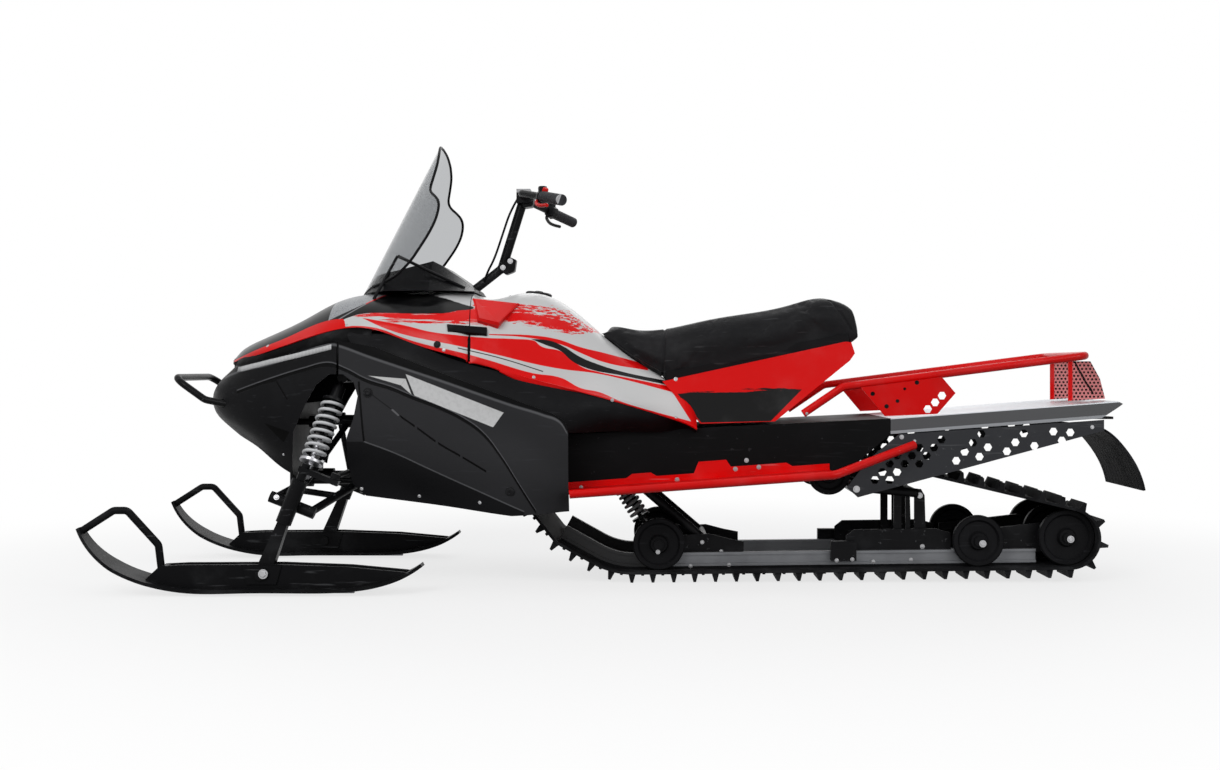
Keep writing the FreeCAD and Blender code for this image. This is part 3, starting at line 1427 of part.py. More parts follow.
def build_tie_rods():
    """The relay rod across the front frame, with an eye over each steering arm's end."""
    foot = king(steering_arm_low + steering_arm_height + tie_rod_gap, 0.0, steering_arm_length)
    eye = rod(foot, foot + king_way * (2 * tie_rod_radius), tie_rod_eye_radius)
    middle = foot + king_way * tie_rod_radius
    bar = rod(middle, Vector(middle.x, 0, middle.z), tie_rod_radius)
    half = fused([eye, bar])
    keep("tie_rods", half.fuse(mirrored(half)).removeSplitter())


# Skis
ski_width = 150.0
ski_sole = 10.0
ski_runner = 8.0
ski_runner_width = 14.0
ski_rib_inner = 26.0
ski_rib = 9.0
ski_boss = 5.0
ski_boss_outer = ski_rib_inner + ski_rib + ski_boss
ski_line_shares = [
    (-0.4985, 0.1375), (-0.4906, 0.105), (-0.4663, 0.0551), (-0.4347, 0.0242), (-0.3934, 0.006), (-0.345, 0.0059),
    (-0.2959, 0.0059), (-0.2347, 0.0125), (-0.1981, 0.0375), (-0.1844, 0.0575),
]
ski_rib_top_shares = [
    (-0.435, 0.0300), (-0.4213, 0.06), (-0.4, 0.0625), (-0.3128, 0.0635), (-0.25, 0.058), (-0.2, 0.047), (-0.195, 0.044),
]
ski_boss_shares = [(-0.3459, 0.0610), (-0.3422, 0.0221), (-0.3156, 0.0221), (-0.3109, 0.0610)]
loop_shares = [
    (-0.4945, 0.134), (-0.4663, 0.1765), (-0.4540, 0.1765), (-0.4255, 0.103), (-0.4225, 0.045),
]
loop_radius = 11.0
loop_bend = 22.0


def build_skis():
    """Plastic skis with upright ribs, a steel runner below and a carrying loop at the tip."""
    y = -ski_stance / 2
    lift = Vector(0, 0, 2 * fit_gap)
    line = moved(side_points(ski_line_shares), lift)
    under = Part.BSplineCurve()
    under.interpolate(line)
    upper_line = []
    for k, p in enumerate(line):
        way = (line[min(k + 1, len(line) - 1)] - line[max(k - 1, 0)]).normalize()
        upper_line.append(p + Vector(-way.z, 0, way.x) * ski_sole)
    over = Part.BSplineCurve()
    over.interpolate(upper_line)
    face = Part.Face(
        Part.Wire(
            [
                under.toShape(),
                Part.makeLine(line[-1], upper_line[-1]),
                over.toShape(),
                Part.makeLine(upper_line[0], line[0]),
            ]
        )
    )
    face.translate(Vector(0, y - ski_width / 2, 0))
    sole = face.extrude(Vector(0, ski_width, 0))
    tip, tail = line[0].x, line[-1].x
    nose_taper, tail_taper = ski_width * 1.4, ski_width
    plan_half = ski_width / 2
    plan = [
        (tip - overrun, 0.28), (tip, 0.3), (tip + nose_taper * 0.5, 0.8), (tip + nose_taper, 1.0),
        (tail - tail_taper, 1.0), (tail - tail_taper * 0.4, 0.78), (tail, 0.34), (tail + overrun, 0.34),
    ]
    right = [Vector(px, y + share * plan_half, -overrun) for px, share in plan]
    left = [Vector(px, y - share * plan_half, -overrun) for px, share in plan[::-1]]
    mask = polygon_face(right + left).extrude(Vector(0, 0, overall_height))
    sole = sole.common(mask)
    pieces = [sole]
    rib_outline = moved(side_points(ski_rib_top_shares), lift)
    rib_under = [p + Vector(0, 0, ski_sole / 2) for p in line[3:9]]
    hole = rod(ski_pivot - Vector(0, ski_width, 0), ski_pivot + Vector(0, ski_width, 0), ski_bolt_radius + fit_gap)
    for side in (-1, 1):
        low = y + side * (ski_rib_inner + ski_rib / 2) - ski_rib / 2
        pieces.append(slab(rib_outline + rib_under[::-1], low, low + ski_rib))
        boss_low = y + side * (ski_rib_inner + ski_rib + ski_boss / 2) - ski_boss / 2
        pieces.append(slab(side_points(ski_boss_shares), boss_low, boss_low + ski_boss))
    bridge_outline = rib_outline[:2] + [rib_outline[1] + Vector(ski_rib * 2, 0, 0), rib_under[0] + Vector(ski_rib * 3, 0, 0)]
    pieces.append(slab(bridge_outline, y - ski_rib_inner - fit_gap, y + ski_rib_inner + fit_gap))
    loop = bent_rod([p + Vector(0, y, 0) for p in side_points(loop_shares)], loop_radius, loop_bend)
    pieces.append(loop)
    ski = fused(pieces).cut(hole)
    keep("ski_left", ski)
    keep("ski_right", mirrored(ski))
    runner_a, runner_b = line[4].x, line[7].x - overrun
    runner = Part.makeBox(
        runner_b - runner_a, ski_runner_width, ski_runner - fit_gap, Vector(runner_a, y - ski_runner_width / 2, 0)
    )
    runner = biggest(runner.cut(ski))
    keep("ski_runner_left", runner)
    keep("ski_runner_right", mirrored(runner))


belly_shares = [(-0.2437, 0.218), (-0.2188, 0.194), (-0.172, 0.179)]
belly_half = 300.0
drive_axle_radius = 14.0
sprocket_width = 30.0
sprocket_teeth = 9
sprocket_y = 90.0
tooth_depth = 14.0


def build_belly():
    """The pan under the engine bay."""
    line = side_points(belly_shares)
    outline = line + moved(line[::-1], Vector(0, 0, panel_thickness))
    keep("belly_pan", slab(outline, -belly_half, belly_half))


def build_drive():
    """The drive axle with its two toothed sprockets."""
    reach = tunnel_width / 2 - sheet - fit_gap
    centre = sprocket_centre
    pieces = [rod(centre - Vector(0, reach, 0), centre + Vector(0, reach, 0), drive_axle_radius)]
    tip = sprocket_radius - wheel_run
    for side in (-1, 1):
        y = side * sprocket_y
        corners = []
        for k in range(sprocket_teeth):
            for radius, share in ((tip - tooth_depth, 0.0), (tip - tooth_depth, 0.5), (tip, 0.62), (tip, 0.88)):
                angle = 2 * math.pi * (k + share) / sprocket_teeth
                corners.append(centre + Vector(math.cos(angle), 0, math.sin(angle)) * radius)
        pieces.append(slab(corners, y - sprocket_width / 2, y + sprocket_width / 2))
    keep("drive_sprockets", fused(pieces))


def main():
    build_track()
    build_rails()
    build_rear_axle_arms()
    build_wheels()
    build_rail_fittings()
    build_swing_arms()
    build_drive()
    build_tunnel()
    build_boards()
    build_rear_deck()
    build_flap()
    build_hitch()
    build_rack()
    build_seat()
    build_upper_body()
    build_lower_body()
    build_belly()
    build_bumper()
    build_dash()
    build_windshield()
    build_handlebar()
    build_frame()
    build_arms()
    build_knuckles()
    build_dampers()
    build_tie_rods()
    build_skis()
    os.makedirs("parts", exist_ok=True)
    for name, shape in parts.items():
        shape.exportStep(f"parts/{name}.step")
        box = shape.BoundBox
        if not shape.isValid() or shape.Volume <= 0:
            print("check", name, shape.isValid(), round(shape.Volume))
        print(name, len(shape.Solids), [round(v) for v in (box.XMin, box.XMax, box.YMin, box.YMax, box.ZMin, box.ZMax)])


main()
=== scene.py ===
"""Looks for the long-track utility snowmobile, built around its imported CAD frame.

Metres throughout. The nose points along -X, the rider's right is +Y, and up is +Z.
"""

import math

import bmesh
import bpy
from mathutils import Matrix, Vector


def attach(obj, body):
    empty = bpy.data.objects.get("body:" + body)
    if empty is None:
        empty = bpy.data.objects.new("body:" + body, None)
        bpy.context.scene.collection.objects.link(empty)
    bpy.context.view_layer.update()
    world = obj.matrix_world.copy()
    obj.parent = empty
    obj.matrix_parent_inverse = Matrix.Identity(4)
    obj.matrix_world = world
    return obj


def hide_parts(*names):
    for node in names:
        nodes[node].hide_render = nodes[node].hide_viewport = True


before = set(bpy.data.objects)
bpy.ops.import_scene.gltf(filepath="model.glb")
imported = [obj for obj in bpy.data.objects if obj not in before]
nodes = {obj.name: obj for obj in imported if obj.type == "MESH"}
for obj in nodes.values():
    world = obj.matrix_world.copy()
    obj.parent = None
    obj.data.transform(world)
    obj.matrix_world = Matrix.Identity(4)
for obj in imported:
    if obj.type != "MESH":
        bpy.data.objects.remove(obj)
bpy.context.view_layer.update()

# Camera, measured from the photograph
IMAGE_WIDTH = 1220.0
IMAGE_HEIGHT = 770.0
FOCAL_PIXELS = 1576.0
SENSOR_WIDTH = 36.0
CAMERA_PLACE = (0.0553, -5.05, 0.655)
CENTRE_PIXEL = (645.0, 368.0)

# Stage: each lamp has a place, an aim, a width and its watts
LAMPS = [
    ("key", (-2.4, -4.4, 3.1), (0.0, 0.0, 0.4), 2.6, 130.0),
    ("fill", (3.4, -4.2, 2.6), (0.2, 0.0, 0.5), 3.0, 85.0),
    ("rim", (0.5, 4.2, 3.4), (0.0, 0.0, 0.6), 3.0, 40.0),
    ("top", (0.0, 0.0, 5.0), (0.0, 0.0, 0.0), 3.4, 22.0),
]
WORLD_TINT = (0.95, 0.97, 1.0, 1.0)
WORLD_STRENGTH = 0.34
FLOOR_HALF = 30.0
FLOOR_DROP = -0.0005
FLOOR_ROUGHNESS = 0.6
FLOOR_SPECULAR = 0.2
GLOW_NEAR = 1.2
GLOW_FAR = 3.2
GLOW_NEAR_SHARE = 0.74

# Colours, as linear light
PURE_WHITE = (1.0, 1.0, 1.0, 1.0)
WHITE = (0.6, 0.6, 0.595, 1.0)
CHALK = (0.56, 0.56, 0.56, 1.0)
RED = (0.7, 0.0008, 0.0008, 1.0)
WASHED_RED = (0.58, 0.004, 0.0035, 1.0)
FADED_RED = (0.62, 0.4, 0.4, 1.0)
LEVER_RED = (0.6, 0.01, 0.008, 1.0)
BUTTON_RED = (0.6, 0.015, 0.012, 1.0)
RED_SHADE = (0.02, 0.003, 0.003, 1.0)
VOID = (0.001, 0.001, 0.001, 1.0)
# painted shade for the folds and grooves of the panels
GROOVE_SHADE = (0.002, 0.002, 0.0022, 1.0)
INK = (0.002, 0.002, 0.0023, 1.0)
BLACK = (0.005, 0.005, 0.0056, 1.0)
SOOT = (0.008, 0.008, 0.0088, 1.0)
VINYL = (0.008, 0.008, 0.009, 1.0)
PANEL_GREY = (0.027, 0.027, 0.029, 1.0)
DARK_GREY = (0.04, 0.041, 0.045, 1.0)
FLANGE_GREY = (0.05, 0.051, 0.055, 1.0)
CREASE_GREY = (0.06, 0.06, 0.063, 1.0)
RAIL_SHADE = (0.07, 0.072, 0.078, 1.0)
# painted highlight for the rims of the panels' edges and folds
RIM_HIGHLIGHT_GREY = (0.1, 0.101, 0.106, 1.0)
GLINT_GREY = (0.12, 0.12, 0.125, 1.0)
MID_GREY = (0.14, 0.143, 0.15, 1.0)
DOT_GREY = (0.15, 0.155, 0.165, 1.0)
RAIL_GREY = (0.17, 0.175, 0.185, 1.0)
LINE_GREY = (0.22, 0.22, 0.23, 1.0)
RUBBED_GREY = (0.3, 0.31, 0.33, 1.0)
LAMP_GREY = (0.34, 0.35, 0.365, 1.0)
ROD_GREY = (0.4, 0.4, 0.42, 1.0)
RIB_GREY = (0.4, 0.41, 0.42, 1.0)
STEEL = (0.42, 0.42, 0.43, 1.0)
SMOKE = (0.5, 0.51, 0.52, 1.0)
ALUMINIUM = (0.52, 0.54, 0.57, 1.0)
CAP_GREY = (0.6, 0.61, 0.62, 1.0)
LABEL_GREY = (0.62, 0.62, 0.62, 1.0)
SPRING_WHITE = (0.62, 0.63, 0.64, 1.0)
FLOOR_WHITE = (0.8, 0.8, 0.8, 1.0)


def link(name, data):
    """A new object in the scene."""
    thing = bpy.data.objects.new(name, data)
    bpy.context.scene.collection.objects.link(thing)
    return thing


def make_camera():
    """A level camera square to the machine's left side, shifted as the photograph is framed."""
    data = bpy.data.cameras.new("camera")
    data.sensor_width = SENSOR_WIDTH
    data.lens = SENSOR_WIDTH * FOCAL_PIXELS / IMAGE_WIDTH
    data.shift_x = (IMAGE_WIDTH / 2 - CENTRE_PIXEL[0]) / IMAGE_WIDTH
    data.shift_y = (CENTRE_PIXEL[1] - IMAGE_HEIGHT / 2) / IMAGE_WIDTH
    camera = link("camera", data)
    camera.location = CAMERA_PLACE
    camera.rotation_euler = (math.pi / 2, 0, 0)
    bpy.context.scene.camera = camera


def seen_directly(tree):
    """A socket that is 1 for rays from the camera, a reflection or a clear pane, and 0 for the rest."""
    path = tree.nodes.new("ShaderNodeLightPath")
    share = path.outputs["Is Camera Ray"]
    for kind in ("Is Glossy Ray", "Is Transmission Ray"):
        most = tree.nodes.new("ShaderNodeMath")
        most.operation = "MAXIMUM"
        tree.links.new(share, most.inputs[0])
        tree.links.new(path.outputs[kind], most.inputs[1])
        share = most.outputs[0]
    return share


def mix_shaders(tree, share, first, second, target):
    """Feeds an output's surface with two shaders, mixed by a share."""
    mixer = tree.nodes.new("ShaderNodeMixShader")
    tree.links.new(share, mixer.inputs["Fac"])
    tree.links.new(first.outputs[0], mixer.inputs[1])
    tree.links.new(second.outputs[0], mixer.inputs[2])
    tree.links.new(mixer.outputs[0], tree.nodes[target].inputs["Surface"])


def make_world():
    """A soft surround for light, which is plain white where it is seen."""
    world = bpy.data.worlds.new("world")
    bpy.context.scene.world = world
    world.use_nodes = True
    tree = world.node_tree
    lit = tree.nodes["Background"]
    shown = tree.nodes.new("ShaderNodeBackground")
    for node, tint, strength in ((lit, WORLD_TINT, WORLD_STRENGTH), (shown, PURE_WHITE, 1.0)):
        node.inputs["Color"].default_value = tint
        node.inputs["Strength"].default_value = strength
    mix_shaders(tree, seen_directly(tree), lit, shown, "World Output")


def make_floor():
    """A plain white floor that keeps the shadow near the machine and glows white further out."""
    mesh = bpy.data.meshes.new("floor")
    half = FLOOR_HALF
    corners = ((-half, -half), (half, -half), (half, half), (-half, half))
    mesh.from_pydata([(x, y, FLOOR_DROP) for x, y in corners], [], [(0, 1, 2, 3)])
    floor = link("floor", mesh)
    material = bpy.data.materials.new("studio_floor")
    material.use_nodes = True
    tree = material.node_tree
    body = tree.nodes["Principled BSDF"]
    body.inputs["Base Color"].default_value = FLOOR_WHITE
    body.inputs["Roughness"].default_value = FLOOR_ROUGHNESS
    body.inputs["Specular IOR Level"].default_value = FLOOR_SPECULAR
    glow = tree.nodes.new("ShaderNodeEmission")
    glow.inputs["Color"].default_value = PURE_WHITE
    tree.links.new(seen_directly(tree), glow.inputs["Strength"])
    spot = tree.nodes.new("ShaderNodeTexCoord")
    reach = tree.nodes.new("ShaderNodeVectorMath")
    reach.operation = "LENGTH"
    tree.links.new(spot.outputs["Object"], reach.inputs[0])
    fade = tree.nodes.new("ShaderNodeMapRange")
    fade.interpolation_type = "SMOOTHSTEP"
    tree.links.new(reach.outputs["Value"], fade.inputs[0])
    for index, value in enumerate((GLOW_NEAR, GLOW_FAR, GLOW_NEAR_SHARE, 1.0)):
        fade.inputs[index + 1].default_value = value
    mix_shaders(tree, fade.outputs[0], body, glow, "Material Output")
    mesh.materials.append(material)


def make_lamps():
    """Square soft lights, each turned towards its aim."""
    for name, place, aim, size, watts in LAMPS:
        data = bpy.data.lights.new(name, "AREA")
        data.size = size
        data.energy = watts
        light = link(name, data)
        light.location = place
        light.rotation_euler = (Vector(aim) - Vector(place)).to_track_quat("-Z", "Y").to_euler()


# Finishes
CURVE_TOP = 1.4
SOFT = 0.0008


class Value:
    """A number, mask or colour inside a material, which takes plain arithmetic."""

    def __init__(self, finish, socket):
        self.finish = finish
        self.socket = socket

    def __add__(self, other):
        return self.finish.math("ADD", self, other)

    def __sub__(self, other):
        return self.finish.math("SUBTRACT", self, other)

    def __rsub__(self, other):
        return self.finish.math("SUBTRACT", other, self)

    def __mul__(self, other):
        return self.finish.math("MULTIPLY", self, other)

    def __or__(self, other):
        return self.finish.math("MAXIMUM", self, other)

    def __abs__(self):
        return self.finish.math("ABSOLUTE", self)


class Finish:
    """A material's node tree, with short calls for what the finishes share."""

    def __init__(self, name, roughness=0.5, metallic=0.0, specular=0.5):
        self.material = bpy.data.materials.new(name)
        self.material.use_nodes = True
        self.tree = self.material.node_tree
        self.body = self.tree.nodes["Principled BSDF"].inputs
        self.put("Roughness", roughness)
        self.put("Metallic", metallic)
        self.put("Specular IOR Level", specular)
        self.place = Value(self, self.add("ShaderNodeTexCoord").outputs["Object"])
        axes = self.add("ShaderNodeSeparateXYZ")
        self.feed(self.place, axes.inputs[0])
        self.x, self.y, self.z = (Value(self, socket) for socket in axes.outputs)

    def add(self, kind, **settings):
        node = self.tree.nodes.new(kind)
        for key, value in settings.items():
            setattr(node, key, value)
        return node

    def feed(self, value, socket):
        """Links a value, or sets a plain number or colour."""
        if isinstance(value, Value):
            self.tree.links.new(value.socket, socket)
        else:
            socket.default_value = value

    def put(self, name, value):
        """Sets one input of the shader."""
        self.feed(value, self.body[name])

    def math(self, operation, first, second=0.0):
        node = self.add("ShaderNodeMath", operation=operation)
        self.feed(first, node.inputs[0])
        self.feed(second, node.inputs[1])
        return Value(self, node.outputs[0])

    def blend(self, share, first, second):
        """A colour between two, by a share from 0 to 1."""
        node = self.add("ShaderNodeMix", data_type="RGBA")
        for value, index in ((share, 0), (first, 6), (second, 7)):
            self.feed(value, node.inputs[index])
        return Value(self, node.outputs[2])

    def colour(self, value):
        self.put("Base Color", value)

    def layer(self, share, shade):
        """Lays a shade over the base colour, by a share from 0 to 1."""
        socket = self.body["Base Color"]
        below = tuple(socket.default_value)
        if socket.is_linked:
            below = Value(self, socket.links[0].from_socket)
        self.colour(self.blend(share, below, shade))

    def rise(self, value, low, high):
        """A smooth step from 0 at low to 1 at high."""
        node = self.add("ShaderNodeMapRange", interpolation_type="SMOOTHSTEP")
        self.feed(value, node.inputs[0])
        node.inputs[1].default_value = low
        node.inputs[2].default_value = high
        return Value(self, node.outputs[0])

    def above(self, value, edge, soft=SOFT):
        """1 where a value passes an edge; either may be a plain number."""
        return self.rise(value - edge, -soft, soft)

    def between(self, value, low, high, soft=SOFT):
        return self.above(value, low, soft) * self.above(high, value, soft)

    def noise(self, scale, detail=3.0, stretch=(1.0, 1.0, 1.0), turn=0.0, rough=0.55):
        """Noise in the part's own space, longer along the axes whose stretch is small."""
        mapping = self.add("ShaderNodeMapping")
        mapping.inputs["Scale"].default_value = stretch
        mapping.inputs["Rotation"].default_value = (0.0, turn, 0.0)
        self.feed(self.place, mapping.inputs["Vector"])
        node = self.add("ShaderNodeTexNoise")
        self.tree.links.new(mapping.outputs[0], node.inputs["Vector"])
        for key, value in (("Scale", scale), ("Detail", detail), ("Roughness", rough)):
            node.inputs[key].default_value = value
        return Value(self, node.outputs["Fac"])

    def patches(self, scale, detail, low, high, **shape):
        """Soft-edged patches of noise, from 0 to 1."""
        return self.rise(self.noise(scale, detail, **shape), low, high)

    def cells(self, scale):
        node = self.add("ShaderNodeTexVoronoi", feature="F1")
        self.feed(self.place, node.inputs["Vector"])
        node.inputs["Scale"].default_value = scale
        return Value(self, node.outputs["Distance"])

    def edge(self, points):
        """A side-view line as a height for each place along the machine."""
        first, last = points[0][0], points[-1][0]
        along = self.add("ShaderNodeMapRange")
        self.feed(self.x, along.inputs[0])
        along.inputs[1].default_value = first
        along.inputs[2].default_value = last
        node = self.add("ShaderNodeFloatCurve")
        line = node.mapping.curves[0]
        spots = [((x - first) / (last - first), z / CURVE_TOP) for x, z in points]
        line.points[0].location = spots[0]
        line.points[1].location = spots[-1]
        for spot in spots[1:-1]:
            line.points.new(*spot)
        for point in line.points:
            point.handle_type = "AUTO_CLAMPED"
        node.mapping.update()
        self.tree.links.new(along.outputs[0], node.inputs["Value"])
        return Value(self, node.outputs[0]) * CURVE_TOP

    def side_polygon(self, corners, soft=SOFT):
        """1 inside a convex side-view outline, whose corners run clockwise or anticlockwise."""
        inside = None
        middle = [sum(corner[axis] for corner in corners) / len(corners) for axis in (0, 1)]
        for a, b in zip(corners, corners[1:] + corners[:1]):
            length = math.hypot(b[0] - a[0], b[1] - a[1])
            nx, nz = -(b[1] - a[1]) / length, (b[0] - a[0]) / length
            offset = nx * a[0] + nz * a[1]
            if nx * middle[0] + nz * middle[1] < offset:
                nx, nz, offset = -nx, -nz, -offset
            mask = self.above(self.x * nx + self.z * nz, offset, soft)
            inside = mask if inside is None else inside * mask
        return inside

    def stripe(self, low, high, wobble=None, soft=0.0009):
        """1 between two side-view lines and between their ends."""
        height = self.z + wobble if wobble else self.z
        first, last = max(low[0][0], high[0][0]), min(low[-1][0], high[-1][0])
        inside = self.between(height, self.edge(low), self.edge(high), soft)
        return inside * self.between(self.x, first, last, 0.002)

    def thin(self, points, below, above, soft=SOFT, ends=0.003):
        """1 along a side-view line, from a little below it to a little above it."""
        line = self.edge(points)
        inside = self.between(self.z, line - below, line + above, soft)
        return inside * self.between(self.x, points[0][0], points[-1][0], ends)

    def bump(self, height, distance, strength=1.0):
        node = self.add("ShaderNodeBump")
        node.inputs["Distance"].default_value = distance
        node.inputs["Strength"].default_value = strength
        self.feed(height, node.inputs["Height"])
        normal = self.body["Normal"]
        if normal.is_linked:
            self.tree.links.new(normal.links[0].from_socket, node.inputs["Normal"])
        self.tree.links.new(node.outputs[0], normal)

    def worn(self, colour, light, amount):
        """A base colour with soft blotches and fine scratches of a lighter shade."""
        blotch = self.patches(9.0, 5.0, 0.45, 0.8)
        scratch = self.patches(60.0, 2.0, 0.62, 0.72, stretch=(0.12, 1.0, 1.6), turn=0.2)
        self.colour(colour)
        self.layer((blotch * 0.45 | scratch) * amount, light)


# Side-view lines of the paintwork, in metres
RED_HEM = [
    (-1.253, 0.672), (-1.167, 0.700), (-1.09, 0.727), (-0.853, 0.803), (-0.838, 0.779), (-0.818, 0.781),
    (-0.741, 0.773), (-0.659, 0.743), (-0.59, 0.723), (-0.507, 0.705), (-0.418, 0.681), (-0.281, 0.640),
    (-0.198, 0.626), (-0.137, 0.595), (-0.082, 0.583), (-0.015, 0.555), (0.083, 0.525), (0.211, 0.49),
]
MAIN_RED_LOW = [
    (-0.79, 0.804), (-0.712, 0.770), (-0.657, 0.753), (-0.589, 0.738), (-0.506, 0.722), (-0.376, 0.692),
    (-0.28, 0.668), (-0.197, 0.652), (-0.088, 0.638), (0.004, 0.617), (0.14, 0.581),
]
MAIN_RED_TOP = [
    (-0.79, 0.805), (-0.726, 0.794), (-0.657, 0.781), (-0.589, 0.764), (-0.506, 0.753), (-0.417, 0.745),
    (-0.348, 0.743), (-0.28, 0.738), (-0.259, 0.721), (-0.198, 0.705), (-0.137, 0.659), (-0.088, 0.644),
    (-0.002, 0.626), (0.14, 0.597),
]
SWOOSH_LOW = [
    (-0.29, 0.743), (-0.246, 0.725), (-0.198, 0.705), (-0.168, 0.678), (-0.125, 0.656), (-0.015, 0.632),
    (0.12, 0.604),
]
SWOOSH_TOP = [
    (-0.29, 0.743), (-0.232, 0.738), (-0.193, 0.721), (-0.144, 0.690), (-0.095, 0.669), (-0.015, 0.644),
    (0.12, 0.616),
]
THIN_RED_LOW = [
    (-0.412, 0.754), (-0.302, 0.747), (-0.199, 0.726), (-0.139, 0.700), (-0.077, 0.675), (0.065, 0.647),
]
THIN_RED_TOP = [
    (-0.412, 0.757), (-0.302, 0.755), (-0.213, 0.743), (-0.139, 0.718), (-0.077, 0.703), (0.065, 0.665),
]
BRUSH_LOW = [
    (-0.84, 0.806), (-0.827, 0.811), (-0.759, 0.807), (-0.708, 0.799), (-0.658, 0.794), (-0.609, 0.790),
    (-0.558, 0.785), (-0.510, 0.787), (-0.463, 0.790), (-0.385, 0.791), (-0.341, 0.793), (-0.292, 0.789),
    (-0.242, 0.777), (-0.192, 0.763), (-0.143, 0.757), (-0.085, 0.768),
]
BRUSH_TOP = [
    (-0.84, 0.808), (-0.796, 0.821), (-0.711, 0.824), (-0.637, 0.825), (-0.562, 0.827), (-0.514, 0.833),
    (-0.463, 0.845), (-0.372, 0.853), (-0.326, 0.851), (-0.271, 0.847), (-0.221, 0.842), (-0.181, 0.827),
    (-0.150, 0.807), (-0.085, 0.769),
]
CORE_LOW = [
    (-0.81, 0.813), (-0.73, 0.806), (-0.66, 0.801), (-0.609, 0.799), (-0.51, 0.797), (-0.44, 0.800),
    (-0.385, 0.799), (-0.292, 0.798), (-0.242, 0.787), (-0.192, 0.773), (-0.143, 0.766),
]
CORE_TOP = [
    (-0.81, 0.814), (-0.73, 0.817), (-0.66, 0.818), (-0.609, 0.817), (-0.51, 0.826), (-0.44, 0.836),
    (-0.385, 0.829), (-0.292, 0.816), (-0.242, 0.812), (-0.192, 0.795), (-0.143, 0.767),
]
DARK_LOW = [
    (-0.87, 0.795), (-0.796, 0.817), (-0.711, 0.820), (-0.637, 0.818), (-0.562, 0.818), (-0.514, 0.826),
    (-0.4655, 0.8345),
]
DARK_TOP = [
    (-0.87, 0.97), (-0.66, 0.97), (-0.625, 0.893), (-0.59, 0.877), (-0.55, 0.865), (-0.4655, 0.8405),
]
# PANEL_TOP, PANEL_FOLD and COVER_FOOT also place painted highlights on the panels' edges; PANEL_FOLD,
# COVER_BACK and NOSE_FACETS place painted shade.
PANEL_TOP = [
    (-1.25, 0.628), (-1.182, 0.649), (-1.075, 0.671), (-0.966, 0.707), (-0.874, 0.728), (-0.852, 0.723),
    (-0.764, 0.692), (-0.655, 0.656), (-0.548, 0.621), (-0.441, 0.584), (-0.335, 0.548), (-0.244, 0.520),
    (-0.194, 0.499), (-0.173, 0.468),
]
PANEL_FOLD = [
    (-1.187, 0.584), (-1.064, 0.624), (-0.963, 0.653), (-0.888, 0.669), (-0.836, 0.653), (-0.770, 0.621),
    (-0.690, 0.596), (-0.632, 0.572), (-0.547, 0.540), (-0.476, 0.505), (-0.419, 0.463), (-0.369, 0.401),
    (-0.313, 0.314), (-0.265, 0.235),
]
COVER_FOOT = [
    (-0.776, 0.437), (-0.689, 0.406), (-0.582, 0.358), (-0.511, 0.326), (-0.440, 0.295), (-0.369, 0.264),
    (-0.299, 0.233),
]
COVER_SLOT = [
    (-0.761, 0.582), (-0.689, 0.530), (-0.660, 0.509), (-0.613, 0.477), (-0.552, 0.434), (-0.484, 0.395),
    (-0.404, 0.348),
]
SHROUD_TAIL = [(0.127, 0.60), (0.222, 0.45), (0.35, 0.45), (0.35, 0.60)]
SEAT_BASE_FIELD = [(0.119, 0.62), (0.565, 0.62), (0.437, 0.494), (0.226, 0.489)]
SEAT_BASE_DARK = [
    (0.118, 0.52), (0.152, 0.579), (0.3, 0.584), (0.48, 0.590), (0.529, 0.587), (0.56, 0.6), (0.72, 0.63),
]
HEM_PINSTRIPE = [(-0.5, 0.713), (-0.376, 0.683), (-0.25, 0.643)]
LAMP_GREY_LOW = [(-0.9, 0.7988), (-0.793, 0.850), (-0.744, 0.877), (-0.72, 0.887)]
LAMP_LINE = [(-0.868, 0.799), (-0.841, 0.815), (-0.783, 0.8516), (-0.744, 0.877), (-0.72, 0.892)]
SLOT_BREAKS = (-0.6185, -0.556, -0.4835)
COVER_BACK = [(-0.795, 0.614), (-0.790, 0.614), (-0.773, 0.439), (-0.778, 0.437)]
NOSE_FACETS = [
    [(-1.055, 0.616), (-1.050, 0.616), (-1.012, 0.560), (-1.018, 0.560)],
    [(-1.187, 0.584), (-1.178, 0.588), (-1.052, 0.619), (-1.052, 0.615)],
]
LABEL_FIELD = [(-0.651, 0.637), (-0.360, 0.524), (-0.391, 0.481), (-0.624, 0.574)]
SLIVERS = [
    [(-0.763, 0.632), (-0.665, 0.604), (-0.651, 0.623)],
    [(-0.665, 0.604), (-0.651, 0.623), (-0.633, 0.577)],
]
SLOT_GLINT = [(-0.694, 0.532), (-0.688, 0.534), (-0.668, 0.516), (-0.672, 0.513)]
NOSE_INTAKE = [(-1.097, 0.490), (-1.012, 0.463), (-1.035, 0.430), (-1.05, 0.445)]

# Places in the part where a finish changes
DARK_FRONT = -0.868
LAMP_FRONT = -0.902
LAMP_BACK = -0.742
LAMP_LINE_END = -0.722
LAMP_LINE_TURN = -0.79
LAMP_LINE_WIDTH = 0.004
PINSTRIPE_WIDTH = 0.003
LAMP_BRACKET_START = 1.395
BRACKET_BARE_HALF = 0.02
BRACKET_COLUMNS = 80.0
BRACKET_ROWS = 46.0
BRACKET_ROW_STRETCH = 1.74
BRACKET_HOLE = 0.085
COVER_FRONT = -0.835
SLOT_FRONT = -0.665
SLOT_END = -0.41
SLOT_BREAK_HALF = 0.004
GRIP_CAP_START = 0.3675
DECK_SLOPE = 0.0748
DECK_TOP = 0.4395
FLANGE_FOOT = 0.404
RAIL_DARK_END = 0.09
FRONT_DAMPER_SIDE = 0.2
DAMPER_ROD_TOP = 0.44
BAR_CAP_HEIGHT = 1.2128
BAR_CLAMP_HALF = 0.05
BAR_MARK_LEFT = -0.232
BAR_MARK_RIGHT = -0.196
BAR_MARK_START = -0.2585


